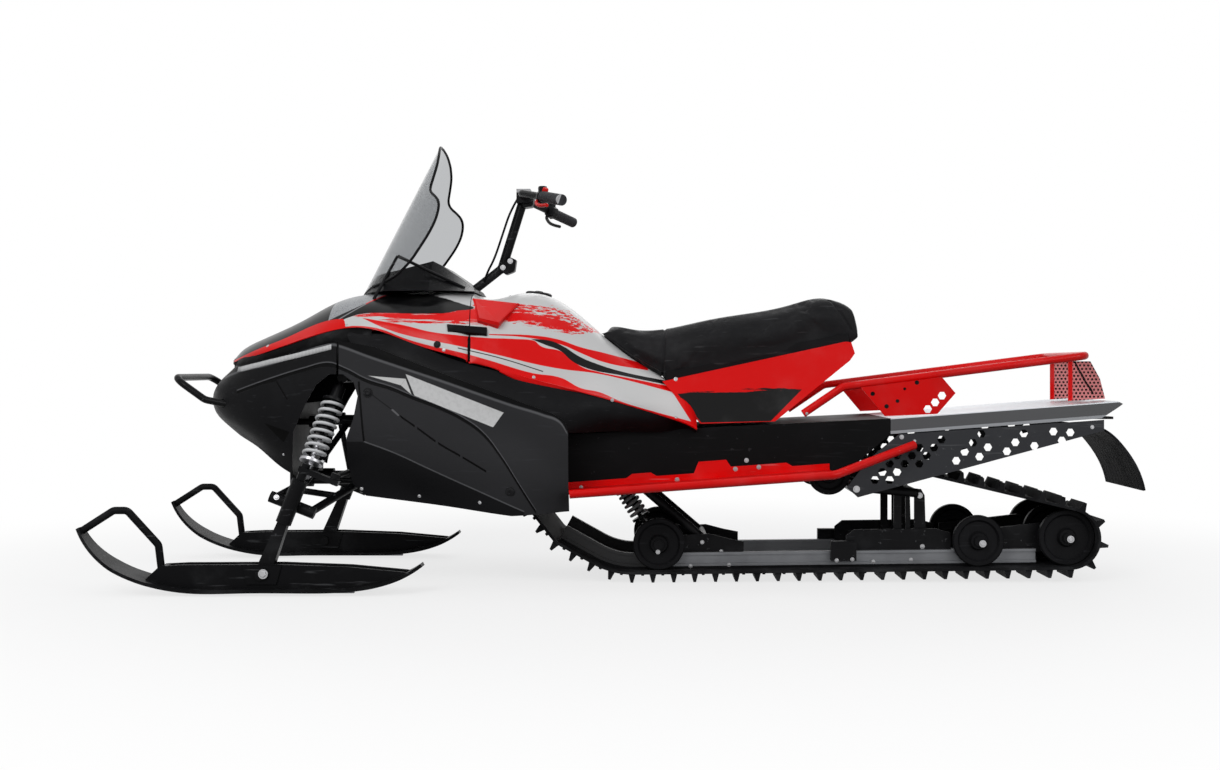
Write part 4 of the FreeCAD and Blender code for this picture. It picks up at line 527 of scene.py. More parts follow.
def paint_surface(finish, coat):
    """Clear-coated paint with faint dust, fine scratches and a little unevenness."""
    dust = finish.patches(7.0, 6.0, 0.48, 0.85)
    finish.layer(dust * 0.04, LABEL_GREY)
    finish.put("Roughness", dust * 0.18 + 0.3)
    finish.put("Coat Weight", coat)
    finish.put("Coat Roughness", 0.14)
    finish.bump(finish.noise(160.0, 2.0), 0.0004, 0.25)
    finish.bump(finish.noise(5.0, 2.0), 0.004, 0.12)
    return finish.material


def torn_edge(finish, scale, stretch, turn, reach):
    """A wobble like the dry bristles of a brush stroke."""
    return (finish.noise(scale[0], scale[1], stretch, turn, 0.75) - 0.5) * reach


def body_paint():
    """White bodywork with red and black bands, a torn brush stroke, a lamp cover and a red hem."""
    finish = Finish("body_paint", 0.3, 0.0, 0.1)
    ragged = torn_edge(finish, (26.0, 5.0), (0.14, 1.0, 2.6), 0.1, 0.05)
    ragged = ragged + torn_edge(finish, (90.0, 4.0), (0.09, 1.0, 2.2), 0.08, 0.03)
    bristles = 1.0 - finish.patches(75.0, 4.0, 0.5, 0.53, stretch=(0.06, 1.0, 2.4), turn=0.06, rough=0.65)
    core = finish.stripe(CORE_LOW, CORE_TOP, ragged * 0.5, 0.002)
    finish.colour(WHITE)
    finish.layer(finish.patches(3.0, 3.0, 0.35, 0.7), CHALK)
    finish.layer(core | finish.stripe(BRUSH_LOW, BRUSH_TOP, ragged, 0.0012) * bristles, RED)
    front = finish.above(DARK_FRONT, finish.x, 0.001)
    finish.layer(front | finish.stripe(DARK_LOW, DARK_TOP, ragged * 0.18), INK)
    dots = finish.blend(finish.above(finish.cells(300.0), 0.36, 0.06), DOT_GREY, LAMP_GREY)
    lamp = finish.above(finish.z, finish.edge(LAMP_GREY_LOW))
    finish.layer(lamp * finish.between(finish.x, LAMP_FRONT, LAMP_BACK), dots)
    line = finish.edge(LAMP_LINE)
    line = finish.between(finish.z, line, line + LAMP_LINE_WIDTH)
    line = line * finish.between(finish.x, DARK_FRONT, LAMP_LINE_END)
    finish.layer(line, finish.blend(finish.above(finish.x, LAMP_LINE_TURN, 0.002), LINE_GREY, RED))
    finish.layer(finish.stripe(THIN_RED_LOW, THIN_RED_TOP), RED)
    finish.layer(finish.stripe(MAIN_RED_LOW, MAIN_RED_TOP), RED)
    finish.layer(finish.stripe(SWOOSH_LOW, SWOOSH_TOP), INK)
    finish.layer(finish.above(finish.edge(RED_HEM), finish.z), RED)
    finish.layer(finish.side_polygon(SHROUD_TAIL), RED)
    finish.layer(finish.thin(HEM_PINSTRIPE, 0.0, PINSTRIPE_WIDTH, ends=SOFT), INK)
    return paint_surface(finish, 0.12)


def faded_red(name, roughness):
    """The start of a red paint: red with washed-out patches."""
    finish = Finish(name, roughness, 0.0, 0.1)
    finish.colour(RED)
    finish.layer(finish.patches(5.0, 4.0, 0.35, 0.75), WASHED_RED)
    return finish


def red_paint(name="red_paint"):
    """Plain red paint, a little faded and scuffed."""
    finish = faded_red(name, 0.3)
    scratch = finish.patches(70.0, 2.0, 0.68, 0.74, stretch=(0.1, 1.0, 1.4), turn=0.3)
    finish.layer(scratch * 0.12, LABEL_GREY)
    return paint_surface(finish, 0.08)


def rack_plate_paint():
    """Red plates; the lamp bracket at the back is faded and pierced with rows of small holes."""
    finish = faded_red("rack_plate_paint", 0.35)
    back = finish.above(finish.x, LAMP_BRACKET_START, 0.002)
    finish.layer(back * 0.55, FADED_RED)
    holes = None
    for shift in (0.0, 0.5):
        across = abs(finish.math("FRACT", finish.x * BRACKET_COLUMNS + shift) - 0.5)
        up = abs(finish.math("FRACT", finish.z * BRACKET_ROWS + shift) - 0.5) * BRACKET_ROW_STRETCH
        reach = finish.math("POWER", across, 2.0) + finish.math("POWER", up, 2.0)
        hole = finish.above(BRACKET_HOLE, reach, 0.01)
        holes = hole if holes is None else holes | hole
    holes = holes * back * finish.above(abs(finish.y), BRACKET_BARE_HALF)
    finish.layer(holes, RED_SHADE)
    finish.bump(1.0 - holes, 0.002, 0.8)
    return paint_surface(finish, 0.08)


def seat_base_paint():
    """Red side plates of the seat, with a black lower field that has a torn upper edge."""
    finish = Finish("seat_base_paint", 0.3, 0.0, 0.1)
    finish.colour(RED)
    height = finish.z + torn_edge(finish, (30.0, 5.0), (0.16, 1.0, 2.4), 0.06, 0.045)
    dark = finish.above(finish.edge(SEAT_BASE_DARK), height, 0.0016)
    finish.layer(dark * finish.side_polygon(SEAT_BASE_FIELD), INK)
    return paint_surface(finish, 0.1)


def moulded(name, colour, roughness=0.42, grain=0.0005, light=DARK_GREY):
    """Moulded black plastic with a fine grain, dull blotches and light scuffs."""
    finish = Finish(name, roughness, 0.0, 0.045)
    finish.worn(colour, light, 0.3)
    finish.put("Roughness", finish.patches(6.0, 5.0, 0.35, 0.8) * 0.2 + (roughness - 0.08))
    finish.bump(finish.cells(650.0), grain, 0.5)
    finish.bump(finish.noise(14.0, 2.0), 0.001, 0.15)
    return finish


def panel_folds(finish):
    """Painted shade along the folds and grooves with painted highlights on their rims, a darker field over
    the brow line and one under the cover.
    """
    brow = finish.above(finish.z, finish.edge(PANEL_TOP))
    finish.layer(brow * finish.between(finish.x, PANEL_TOP[0][0], PANEL_TOP[-1][0], 0.003), INK)
    # painted highlights: pale rims under the panel's top edge, above the fold and along the cover's foot
    finish.layer(finish.thin(PANEL_TOP, 0.007, 0.0, 0.003), RIM_HIGHLIGHT_GREY)
    finish.layer(finish.thin(PANEL_FOLD, 0.0, 0.005, 0.002), RIM_HIGHLIGHT_GREY)
    foot = finish.above(finish.edge(COVER_FOOT), finish.z, 0.002)
    finish.layer(foot * finish.between(finish.x, COVER_FRONT, COVER_FOOT[-1][0], 0.004), SOOT)
    finish.layer(finish.thin(COVER_FOOT, 0.001, 0.003, 0.0015), RIM_HIGHLIGHT_GREY)
    # painted shade: dark below the fold line, at the cover's back edge and on two facets of the nose, in
    # place of the relief's own shading
    dark = finish.thin(PANEL_FOLD, 0.009, 0.001, 0.0015)
    for outline in [COVER_BACK] + NOSE_FACETS:
        dark = dark | finish.side_polygon(outline, 0.0012)
    finish.layer(dark, GROOVE_SHADE)
    finish.bump(1.0 - dark, 0.004, 0.8)


def side_panel_plastic():
    """Grained black side panels with a bare pale label field, a thin white sliver over it and a slot."""
    finish = moulded("side_panel_plastic", PANEL_GREY, 0.45)
    panel_folds(finish)
    shade = finish.blend(finish.patches(90.0, 3.0, 0.4, 0.7), LABEL_GREY, CHALK)
    finish.layer(finish.side_polygon(LABEL_FIELD), shade)
    finish.layer(finish.side_polygon(SLIVERS[0]) | finish.side_polygon(SLIVERS[1]), WHITE)
    lead = finish.thin(COVER_SLOT, 0.001, 0.0025, 0.002) * finish.above(SLOT_FRONT, finish.x)
    finish.layer(lead * 0.8, INK)
    finish.layer(finish.side_polygon(SLOT_GLINT, 0.001), GLINT_GREY)
    slot = finish.thin(COVER_SLOT, 0.003, 0.003) * finish.between(finish.x, SLOT_FRONT, SLOT_END)
    for place in SLOT_BREAKS:
        slot = slot * (1.0 - finish.between(finish.x, place - SLOT_BREAK_HALF, place + SLOT_BREAK_HALF))
    finish.layer(slot, VOID)
    finish.bump(1.0 - slot, 0.004, 0.8)
    return finish.material


def nose_plastic():
    """Black nose with folds and a dark intake at its foot."""
    finish = moulded("nose_plastic", SOOT)
    panel_folds(finish)
    finish.layer(finish.side_polygon(NOSE_INTAKE, 0.0015), VOID)
    return finish.material


def marker_lens():
    """The pale ribbed lens of the side marker."""
    finish = Finish("marker_lens", 0.25, 0.0, 0.3)
    ribs = finish.above(finish.math("FRACT", finish.x * 220.0), 0.5, 0.1)
    finish.colour(LABEL_GREY)
    finish.layer(ribs, RIB_GREY)
    finish.bump(ribs, 0.0008, 0.5)
    return finish.material


def smoked_shield():
    """Smoked clear plastic, with a little haze and fine wiping marks."""
    finish = Finish("smoked_shield", 0.05, 0.0, 0.3)
    finish.colour(SMOKE)
    finish.put("Transmission Weight", 1.0)
    finish.put("IOR", 1.08)
    haze = finish.patches(4.0, 5.0, 0.4, 0.9)
    wipe = finish.patches(120.0, 2.0, 0.62, 0.7, stretch=(0.3, 0.1, 1.0))
    finish.put("Roughness", (haze | wipe) * 0.05 + 0.02)
    return finish.material


def rubber(name, colour=SOOT, roughness=0.7, light=MID_GREY):
    """Black rubber with a dusty bloom and pitting."""
    finish = Finish(name, roughness, 0.0, 0.05)
    bloom = finish.patches(12.0, 6.0, 0.42, 0.8)
    finish.colour(colour)
    finish.layer(bloom * 0.22, light)
    finish.put("Roughness", bloom * 0.15 + (roughness - 0.05))
    finish.bump(finish.noise(420.0, 3.0), 0.0005, 0.5)
    return finish


def flap_rubber():
    """Ribbed flap rubber."""
    finish = rubber("flap_rubber")
    ribs = finish.math("PINGPONG", finish.y * 60.0, 1.0)
    finish.bump(finish.rise(ribs, 0.15, 0.35), 0.0015, 0.6)
    return finish.material


def grip_rubber():
    """Ringed grip rubber with a pale end cap."""
    finish = rubber("grip_rubber", DARK_GREY, 0.6)
    reach = abs(finish.y)
    rings = finish.math("PINGPONG", reach * 190.0, 1.0)
    finish.bump(finish.rise(rings, 0.3, 0.6), 0.0015, 0.7)
    finish.layer(finish.above(reach, GRIP_CAP_START, 0.0006), CAP_GREY)
    return finish.material


def metal(name, colour, roughness=0.35, grain=(1.0, 1.0, 1.0), light=MID_GREY, stain=0.4):
    """Brushed or cast metal: lines along one axis and dull stains."""
    finish = Finish(name, roughness, 1.0)
    finish.colour(colour)
    finish.layer(finish.patches(8.0, 6.0, 0.4, 0.8) * stain, light)
    lines = finish.noise(240.0, 3.0, grain)
    finish.put("Roughness", lines * 0.3 + (roughness - 0.1))
    finish.bump(lines, 0.0003, 0.4)
    return finish


def deck_metal():
    """Bare deck plate with long drag marks, above a dark painted flange with a rubbed lower edge."""
    finish = metal("deck_metal", ALUMINIUM, 0.36, (0.05, 1.0, 1.0), LABEL_GREY, 0.3)
    plane = finish.z - finish.x * DECK_SLOPE
    top = finish.above(plane, DECK_TOP, 0.0006)
    flange = finish.blend(finish.above(FLANGE_FOOT, plane, 0.0006), FLANGE_GREY, RUBBED_GREY)
    finish.layer(1.0 - top, flange)
    finish.put("Metallic", top * 0.85)
    return finish.material


def rail_metal():
    """Grey rails, dark where they curve up at the front."""
    finish = metal("rail_metal", RAIL_GREY, 0.42, (0.08, 1.0, 1.0), RAIL_SHADE, 0.5)
    straight = finish.above(finish.x, RAIL_DARK_END, 0.03)
    finish.layer(1.0 - straight, SOOT)
    finish.put("Metallic", straight * 0.4 + 0.4)
    return finish.material


def painted(name, colour, roughness=0.38, light=MID_GREY, wear=0.3):
    """Satin powder coat with chips and a fine orange-peel."""
    finish = Finish(name, roughness, 0.0, 0.06)
    finish.worn(colour, light, wear)
    finish.layer(finish.patches(55.0, 4.0, 0.66, 0.7) * 0.4, light)
    finish.put("Roughness", finish.noise(10.0, 4.0) * 0.2 + (roughness - 0.1))
    finish.bump(finish.noise(300.0, 2.0), 0.0003, 0.4)
    return finish


def damper_finish():
    """Black damper bodies with bright rods near their lower eyes."""
    finish = painted("damper_finish", SOOT, 0.3)
    outside = finish.above(abs(finish.y), FRONT_DAMPER_SIDE, 0.002)
    low = outside * finish.above(DAMPER_ROD_TOP, finish.z, 0.004)
    finish.layer(low, ROD_GREY)
    finish.put("Metallic", low * 0.8)
    return finish.material


def seat_vinyl():
    """Black grained vinyl, with dull creases and scuffs."""
    finish = Finish("seat_vinyl", 0.46, 0.0, 0.07)
    finish.worn(VINYL, CREASE_GREY, 0.4)
    finish.put("Roughness", finish.patches(5.0, 5.0, 0.35, 0.75) * 0.2 + 0.36)
    finish.bump(finish.cells(420.0), 0.0006, 0.6)
    finish.bump(finish.noise(26.0, 4.0, (1.0, 1.0, 2.2)), 0.003, 0.35)
    finish.put("Sheen Weight", 0.1)
    return finish.material


def handlebar_finish():
    """Black bar and riser, red behind the stop button and bare steel on top at the bar's middle."""
    finish = painted("handlebar_finish", BLACK, 0.34)
    mark = finish.between(finish.y, BAR_MARK_LEFT, BAR_MARK_RIGHT, 0.001)
    finish.layer(mark * finish.above(finish.x, BAR_MARK_START), BUTTON_RED)
    polished = finish.above(finish.z, BAR_CAP_HEIGHT, 0.0006)
    finish.layer(polished * finish.above(BAR_CLAMP_HALF, abs(finish.y)), STEEL)
    return finish.material


FRAMED = (
    "front_frame", "front_arms", "knuckle_left", "knuckle_right", "kingpin_housings", "tie_rods",
    "tow_hitch",
)


def dress_nodes():
    """Gives every CAD node its finish."""
    black = moulded("black_plastic", BLACK).material
    red = red_paint()
    paint = body_paint()
    finishes = {
        "hood": paint,
        "tank_shroud": paint,
        "nose_cone": nose_plastic(),
        "side_panel_left": side_panel_plastic(),
        "windshield": smoked_shield(),
        "dash_pod": moulded("dash_plastic", BLACK, 0.34).material,
        "seat_base": seat_base_paint(),
        "running_boards": red,
        "board_rails": red,
        "rack_frame": red,
        "rack_plates": rack_plate_paint(),
        "rear_deck": deck_metal(),
        "side_plates": painted("plate_grey", DARK_GREY, 0.42).material,
        "tunnel": painted("tunnel_black", INK, 0.5, DARK_GREY, 0.12).material,
        "slide_rails": rail_metal(),
        "rear_axle_arms": painted("axle_arm_black", SOOT, 0.4).material,
        "rail_fittings": painted("fitting_black", SOOT, 0.45).material,
        "shoulder_panels": moulded("shoulder_plastic", SOOT, 0.36).material,
        "swing_arms": painted("arm_black", SOOT, 0.36).material,
        "engine_block": metal("engine_metal", MID_GREY, 0.6).material,
        "springs": painted("spring_paint", SPRING_WHITE, 0.3, LABEL_GREY, 0.25).material,
        "dampers": damper_finish(),
        "handlebar": handlebar_finish(),
        "grips": grip_rubber(),
        "snow_flap": flap_rubber(),
        "track": rubber("track_rubber").material,
        "idler_wheels": moulded("wheel_plastic", SOOT, 0.45).material,
        "ski_runner_left": metal("runner_steel", MID_GREY, 0.4, (0.05, 1.0, 1.0)).material,
        "front_bumper": painted("bumper_black", BLACK, 0.3, MID_GREY, 0.2).material,
        "ski_left": moulded("ski_plastic", BLACK, 0.4, 0.0004, MID_GREY).material,
    }
    for name in ("side_panel", "ski", "ski_runner"):
        finishes[name + "_right"] = finishes[name + "_left"]
    framed = painted("frame_black", BLACK).material
    for name in FRAMED:
        finishes[name] = framed
    for name, node in nodes.items():
        node.data.materials.clear()
        node.data.materials.append(finishes.get(name, black))


# Casts onto the nodes
SIDES = ((-1, "left"), (1, "right"))
RAY_START = 1.5
FRONT_START = -2.0
SIDE_GUARD = 0.03
STRIDE = 0.001


def cast(node, start, way):
    """The spot and normal where a ray meets a node, or None."""
    found, spot, normal, _ = nodes[node].ray_cast(Vector(start), Vector(way))
    return (spot, normal) if found else None


def drop_cast(node, x, y, z=RAY_START):
    """A cast straight down."""
    return cast(node, (x, y, z), (0.0, 0.0, -1.0))


def side_cast(node, x, z, side, guard=-RAY_START):
    """A cast from one side; a spot nearer to the centre plane than the guard doesn't count."""
    hit = cast(node, (x, side * RAY_START, z), (0.0, -side, 0.0))
    return hit if hit and hit[0].y * side > guard else None


def steps(start, end):
    """Values from one number towards another, one stride apart."""
    stride = math.copysign(STRIDE, end - start)
    value = start
    while (end - value) * stride > 0.0:
        yield value
        value += stride


def first_spot(hits):
    """The spot of the first cast that met a surface."""
    hit = next((hit for hit in hits if hit), None)
    return hit[0] if hit else None


def edge_spot(node, x, side, start, end):
    """The first spot of a node's side surface on the way from one height to another."""
    return first_spot(side_cast(node, x, z, side, SIDE_GUARD) for z in steps(start, end))


def add_piece(name, mesh, material, body, smooth):
    """An object in the scene with its finish and the body that carries it."""
    piece = link(name, mesh)
    mesh.materials.clear()
    mesh.materials.append(material)
    for face in mesh.polygons:
        face.use_smooth = smooth
    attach(piece, body)


def mesh_piece(name, shape, material, body="chassis", smooth=False):
    """A piece from a filled bmesh."""
    mesh = bpy.data.meshes.new(name)
    bmesh.ops.recalc_face_normals(shape, faces=shape.faces)
    shape.to_mesh(mesh)
    shape.free()
    add_piece(name, mesh, material, body, smooth)


def wall(shape, loops):
    """Quads between neighbouring loops of vertices, with a cap at each end."""
    for low, high in zip(loops, loops[1:]):
        for index in range(len(low)):
            after = (index + 1) % len(low)
            shape.faces.new((low[index], low[after], high[after], high[index]))
    shape.faces.new(list(reversed(loops[0])))
    shape.faces.new(loops[-1])


def cord_like(name, points, radius, material, body="chassis", order=3):
    """A smooth round strip along points, as a mesh."""
    curve = bpy.data.curves.new(name + "_line", "CURVE")
    curve.dimensions = "3D"
    curve.bevel_depth = radius
    curve.bevel_resolution = 3
    curve.resolution_u = 6
    curve.use_fill_caps = True
    line = curve.splines.new("NURBS")
    line.points.add(len(points) - 1)
    for spot, point in zip(line.points, points):
        spot.co = (*point, 1.0)
    line.order_u = order
    line.use_endpoint_u = True
    holder = bpy.data.objects.new(name + "_line", curve)
    mesh = bpy.data.meshes.new_from_object(holder)
    bpy.data.objects.remove(holder)
    add_piece(name, mesh, material, body, True)


def trim_rubber(name, roughness=0.5):
    """Black rubber for edging and cables."""
    return rubber(name, BLACK, roughness, DARK_GREY).material


# Seat cushion
WELD_DISTANCE = 0.0001
CUSHION_SHRINK = 0.004
CUSHION_VOXEL = 0.0055
CUSHION_PRESSURE = 4.0
CUSHION_STIFFNESS = 12.0
CUSHION_REACH = 0.009
CUSHION_FRAMES = 20
CUSHION_DROP = 0.011
CUSHION_DROP_START = 0.1
CUSHION_BACK_START = 0.58
CUSHION_BACK_BLEND = 0.09
CUSHION_BACK_SHIFT = 0.02
CUSHION_BACK_LEAN = 0.024
CUSHION_BACK_TOP = 0.86
CUSHION_LEAN_SPAN = 0.1
UNDERSIDE_NORMAL = -0.2
FLANK_NORMAL = 0.35
SHROUD_CAST_LIFT = 0.004
SHROUD_GAP = 0.0045
SHROUD_REACH = 0.07
SHROUD_SEAT_END = 0.14
SEAM_DEPTH = 0.0035
SEAM_WIDTH = 0.006
SEAT_FRONT_SEAM = [(0.118, 0.799), (0.109, 0.595)]
SEAT_BACK_SEAM = [(0.585, 0.895), (0.632, 0.862), (0.662, 0.82), (0.692, 0.772)]


def segment_gap(x, z, points):
    """How far a side-view point lies from a line of points."""
    gaps = []
    for (ax, az), (bx, bz) in zip(points, points[1:]):
        dx, dz = bx - ax, bz - az
        share = max(0.0, min(1.0, ((x - ax) * dx + (z - az) * dz) / (dx * dx + dz * dz)))
        gaps.append(math.hypot(x - ax - share * dx, z - az - share * dz))
    return min(gaps)


def normals_of(mesh):
    return [vertex.normal.copy() for vertex in mesh.vertices]


def baked(piece):
    """Swaps a piece's mesh for the one its modifiers make, and drops them."""
    mesh = bpy.data.meshes.new_from_object(piece.evaluated_get(bpy.context.evaluated_depsgraph_get()))
    piece.modifiers.clear()
    piece.data = mesh
    return mesh


def shape_cushion(mesh):
    """Brings the cover down to its pan and the bodywork, and leans its back out as in the photograph."""
    for vertex, normal in zip(mesh.vertices, normals_of(mesh)):
        spot = vertex.co
        if normal.z < UNDERSIDE_NORMAL:
            below = drop_cast("tank_shroud", spot.x, spot.y, spot.z + SHROUD_CAST_LIFT)
            if spot.x < SHROUD_SEAT_END and below and spot.z - below[0].z < SHROUD_REACH:
                spot.z = below[0].z + SHROUD_GAP
            elif spot.x > CUSHION_DROP_START:
                spot.z -= CUSHION_DROP
        if spot.x > CUSHION_BACK_START:
            share = min(1.0, (spot.x - CUSHION_BACK_START) / CUSHION_BACK_BLEND)
            share = share * share * (3.0 - 2.0 * share)
            lean = max(0.0, (CUSHION_BACK_TOP - spot.z) / CUSHION_LEAN_SPAN)
            spot.x += share * (CUSHION_BACK_SHIFT + CUSHION_BACK_LEAN * lean)


def blow_up(piece):
    """Fills the cover with air for a few frames of cloth."""
    cloth = piece.modifiers.new("cloth", "CLOTH")
    cloth.settings.use_pressure = True
    cloth.settings.uniform_pressure_force = CUSHION_PRESSURE
    cloth.settings.effector_weights.gravity = 0.0
    cloth.settings.tension_stiffness = CUSHION_STIFFNESS
    cloth.settings.compression_stiffness = CUSHION_STIFFNESS
    cloth.point_cache.frame_start = 1
    cloth.point_cache.frame_end = CUSHION_FRAMES
    scene = bpy.context.scene
    for step in range(1, CUSHION_FRAMES + 1):
        scene.frame_set(step)
    mesh = baked(piece)
    scene.frame_set(1)
    return mesh


def make_cushion():
    """The stuffed seat: the CAD solid, taken in a little, blown up as cloth and given its seams."""
    shape = bmesh.new()
    shape.from_mesh(nodes["seat_cushion"].data)
    bmesh.ops.remove_doubles(shape, verts=shape.verts, dist=WELD_DISTANCE)
    bmesh.ops.triangulate(shape, faces=shape.faces)
    mesh = bpy.data.meshes.new("seat_cover")
    shape.to_mesh(mesh)
    shape.free()
    shape_cushion(mesh)
    piece = link("seat_cover", mesh)
    remesh = piece.modifiers.new("remesh", "REMESH")
    remesh.mode = "VOXEL"
    remesh.voxel_size = CUSHION_VOXEL
    mesh = baked(piece)
    for vertex, normal in zip(mesh.vertices, normals_of(mesh)):
        vertex.co -= normal * CUSHION_SHRINK
    rest = [vertex.co.copy() for vertex in mesh.vertices]
    mesh = blow_up(piece)
    for vertex, old in zip(mesh.vertices, rest):
        shift = vertex.co - old
        if shift.length > CUSHION_REACH:
            vertex.co = old + shift.normalized() * CUSHION_REACH
    soften = piece.modifiers.new("soften", "SUBSURF")
    soften.levels = 1
    soften.render_levels = 1
    mesh = baked(piece)
    for vertex, normal in zip(mesh.vertices, normals_of(mesh)):
        gap = segment_gap(vertex.co.x, vertex.co.z, SEAT_FRONT_SEAM)
        if abs(normal.y) > FLANK_NORMAL:
            gap = min(gap, segment_gap(vertex.co.x, vertex.co.z, SEAT_BACK_SEAM))
        if gap < SEAM_WIDTH:
            vertex.co -= normal * SEAM_DEPTH * (0.5 + 0.5 * math.cos(math.pi * gap / SEAM_WIDTH))
    mesh.materials.clear()
    mesh.materials.append(seat_vinyl())
    for face in mesh.polygons:
        face.use_smooth = True
    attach(piece, "chassis")
    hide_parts("seat_cushion")


# Windshield trim
TRIM_CENTRE = 1.05
TRIM_START = -40.0
TRIM_STEPS = 64
TRIM_FROM = 0.05
TRIM_REACH = 0.42
TRIM_RADIUS = 0.0042
TRIM_OFFSET = Vector((0.0015, 0.0, 0.0))


def shield_edge(angle):
    """The outermost spot of the shield in one direction from its middle, seen from the front."""
    last = None
    for reach in steps(TRIM_FROM, TRIM_REACH):
        start = (FRONT_START, -math.cos(angle) * reach, TRIM_CENTRE + math.sin(angle) * reach)
        hit = cast("windshield", start, (1.0, 0.0, 0.0))
        if hit:
            last = hit[0].copy()
    return last


def make_shield_trim():
    """The black rubber edging of the shield, laid along its own edge."""
    angles = [TRIM_START + (180.0 - 2.0 * TRIM_START) * step / TRIM_STEPS for step in range(TRIM_STEPS + 1)]
    edges = [shield_edge(math.radians(angle)) for angle in angles]
    points = [edge + TRIM_OFFSET for edge in edges if edge is not None]
    cord_like("shield_trim", points, TRIM_RADIUS, trim_rubber("trim_rubber", 0.45))


# Fasteners
SEAT_SHIFTS = (0.0, 0.006, -0.006, 0.012, -0.012, 0.018, -0.018, 0.024)
FOOT_SINK = -0.001
RING_SIDES = 20
HEX_SIDES = 6
BUTTON_WASHER = [(1.35, 0.22), (1.3, 0.3)]
BUTTON_HEAD = [(1.0, 0.2), (1.0, 0.5), (0.8, 0.9), (0.5, 1.0), (0.42, 1.0), (0.4, 0.5)]
HEX_WASHER = [(1.5, 0.18), (1.45, 0.25)]
HEX_HEAD = [(1.0, 0.1), (1.0, 0.85), (0.86, 1.0)]
COLLAR_RIM = [(1.1, FOOT_SINK), (1.1, 0.0006), (1.0, 0.0009), (0.8, 0.0008), (0.75, 0.0002)]
HEX_TWIST = 0.3


def scaled(shares, radius, height=1.0):
    """Rings of (radius, height) from shares of both."""
    return [(radius * wide, height * tall) for wide, tall in shares]


class Fasteners:
    """A group of small bolts, screws or turned forms that share a finish and a body."""

    def __init__(self, name, material, body="chassis"):
        self.name = name
        self.material = material
        self.body = body
        self.shape = bmesh.new()

    def ring_stack(self, centre, normal, rings, sides=RING_SIDES, twist=0.0):
        """Rings of (radius, height) along a normal, closed at both ends."""
        turn = Vector(normal).to_track_quat("Z", "X")
        angles = [twist + 2 * math.pi * index / sides for index in range(sides)]
        ways = [(math.cos(angle), math.sin(angle)) for angle in angles]
        loops = []
        for radius, height in rings:
            spots = [turn @ Vector((radius * x, radius * y, height)) for x, y in ways]
            loops.append([self.shape.verts.new(Vector(centre) + spot) for spot in spots])
        wall(self.shape, loops)

    def washer(self, centre, normal, radius, height, shares):
        foot = [(radius * shares[0][0], FOOT_SINK)]
        self.ring_stack(centre, normal, foot + scaled(shares, radius, height))

    def button(self, centre, normal, radius):
        """A domed screw with a socket, on a thin washer."""
        height = radius * 0.5
        self.washer(centre, normal, radius, height, BUTTON_WASHER)
        self.ring_stack(centre, normal, scaled(BUTTON_HEAD, radius, height))

    def collar(self, centre, normal, radius):
        """A dark pressed rim around a small hole."""
        self.ring_stack(centre, normal, scaled(COLLAR_RIM, radius))

    def hexagon(self, centre, normal, radius, height=None):
        """A six-sided bolt head with a chamfered top, on a washer."""
        height = height or radius * 0.7
        self.washer(centre, normal, radius, height, HEX_WASHER)
        self.ring_stack(centre, normal, scaled(HEX_HEAD, radius, height), HEX_SIDES, HEX_TWIST)

    def seat(self, node, x, z, side, kind, **size):
        """Seats one on the node's outer surface, at or near a place in the side view."""
        casts = (side_cast(node, x, z + shift, side) for shift in SEAT_SHIFTS)
        hit = next((hit for hit in casts if hit), None)
        if hit:
            getattr(self, kind)(*hit, **size)
        else:
            print("no surface for a fastener:", node, round(x, 3), round(z, 3))

    def seat_both(self, node, x, z, kind, radius):
        """Seats one on each side; a node that comes in a left and a right one is named without them."""
        for side, word in SIDES:
            own = node + "_" + word
            self.seat(own if own in nodes else node, x, z, side, kind, radius=radius)

    def finish(self):
        mesh_piece(self.name, self.shape, self.material, self.body)


# Seat pan, scoops and latches
PAN_HALF_WIDTH = 0.188
PAN_LOW = [(0.118, 0.598), (0.30, 0.650), (0.50, 0.700), (0.685, 0.722)]
PAN_TOP = [(0.118, 0.640), (0.30, 0.680), (0.50, 0.730), (0.685, 0.762)]
PAN_CHAMFER = 0.004
SCOOP_CORNERS = [(-0.474, 0.866), (-0.331, 0.848), (-0.388, 0.7725), (-0.448, 0.790)]
SCOOP_LIFTS = (0.006, 0.010, 0.026, 0.020)
SCOOP_INSET = 0.1
LATCH_CORNERS = [(-0.536, 0.782), (-0.419, 0.771), (-0.418, 0.750), (-0.532, 0.763)]
LATCH_LIFTS = (0.008, 0.011, 0.011, 0.008)
LATCH_INSET = 0.06
PATCH_GUARD = 0.05
PATCH_SINK = 0.004
PATCH_FLANK = 0.6


def make_seat_pan():
    """The black pan between the seat's cover and its red base."""
    outline = PAN_LOW + list(reversed(PAN_TOP))
    centre = [sum(corner[axis] for corner in outline) / len(outline) for axis in (0, 1)]
    outer, inner = PAN_HALF_WIDTH, PAN_HALF_WIDTH - PAN_CHAMFER
    shape = bmesh.new()
    loops = []
    for y, chamfer in ((-outer, PAN_CHAMFER), (-inner, 0.0), (inner, 0.0), (outer, PAN_CHAMFER)):
        loop = []
        for x, z in outline:
            inward = Vector((centre[0] - x, 0.0, centre[1] - z)).normalized() * chamfer
            loop.append(shape.verts.new(Vector((x, y, z)) + inward))
        loops.append(loop)
    wall(shape, loops)
    mesh_piece("seat_pan", shape, moulded("pan_plastic", SOOT, 0.5).material)


def on_body(x, z, side):
    """A spot and normal of the bodywork's outer surface at a place in the side view."""
    hits = [side_cast(name, x, z, side, PATCH_GUARD) for name in ("tank_shroud", "hood")]
    return max((hit for hit in hits if hit), key=lambda hit: hit[0].y * side)


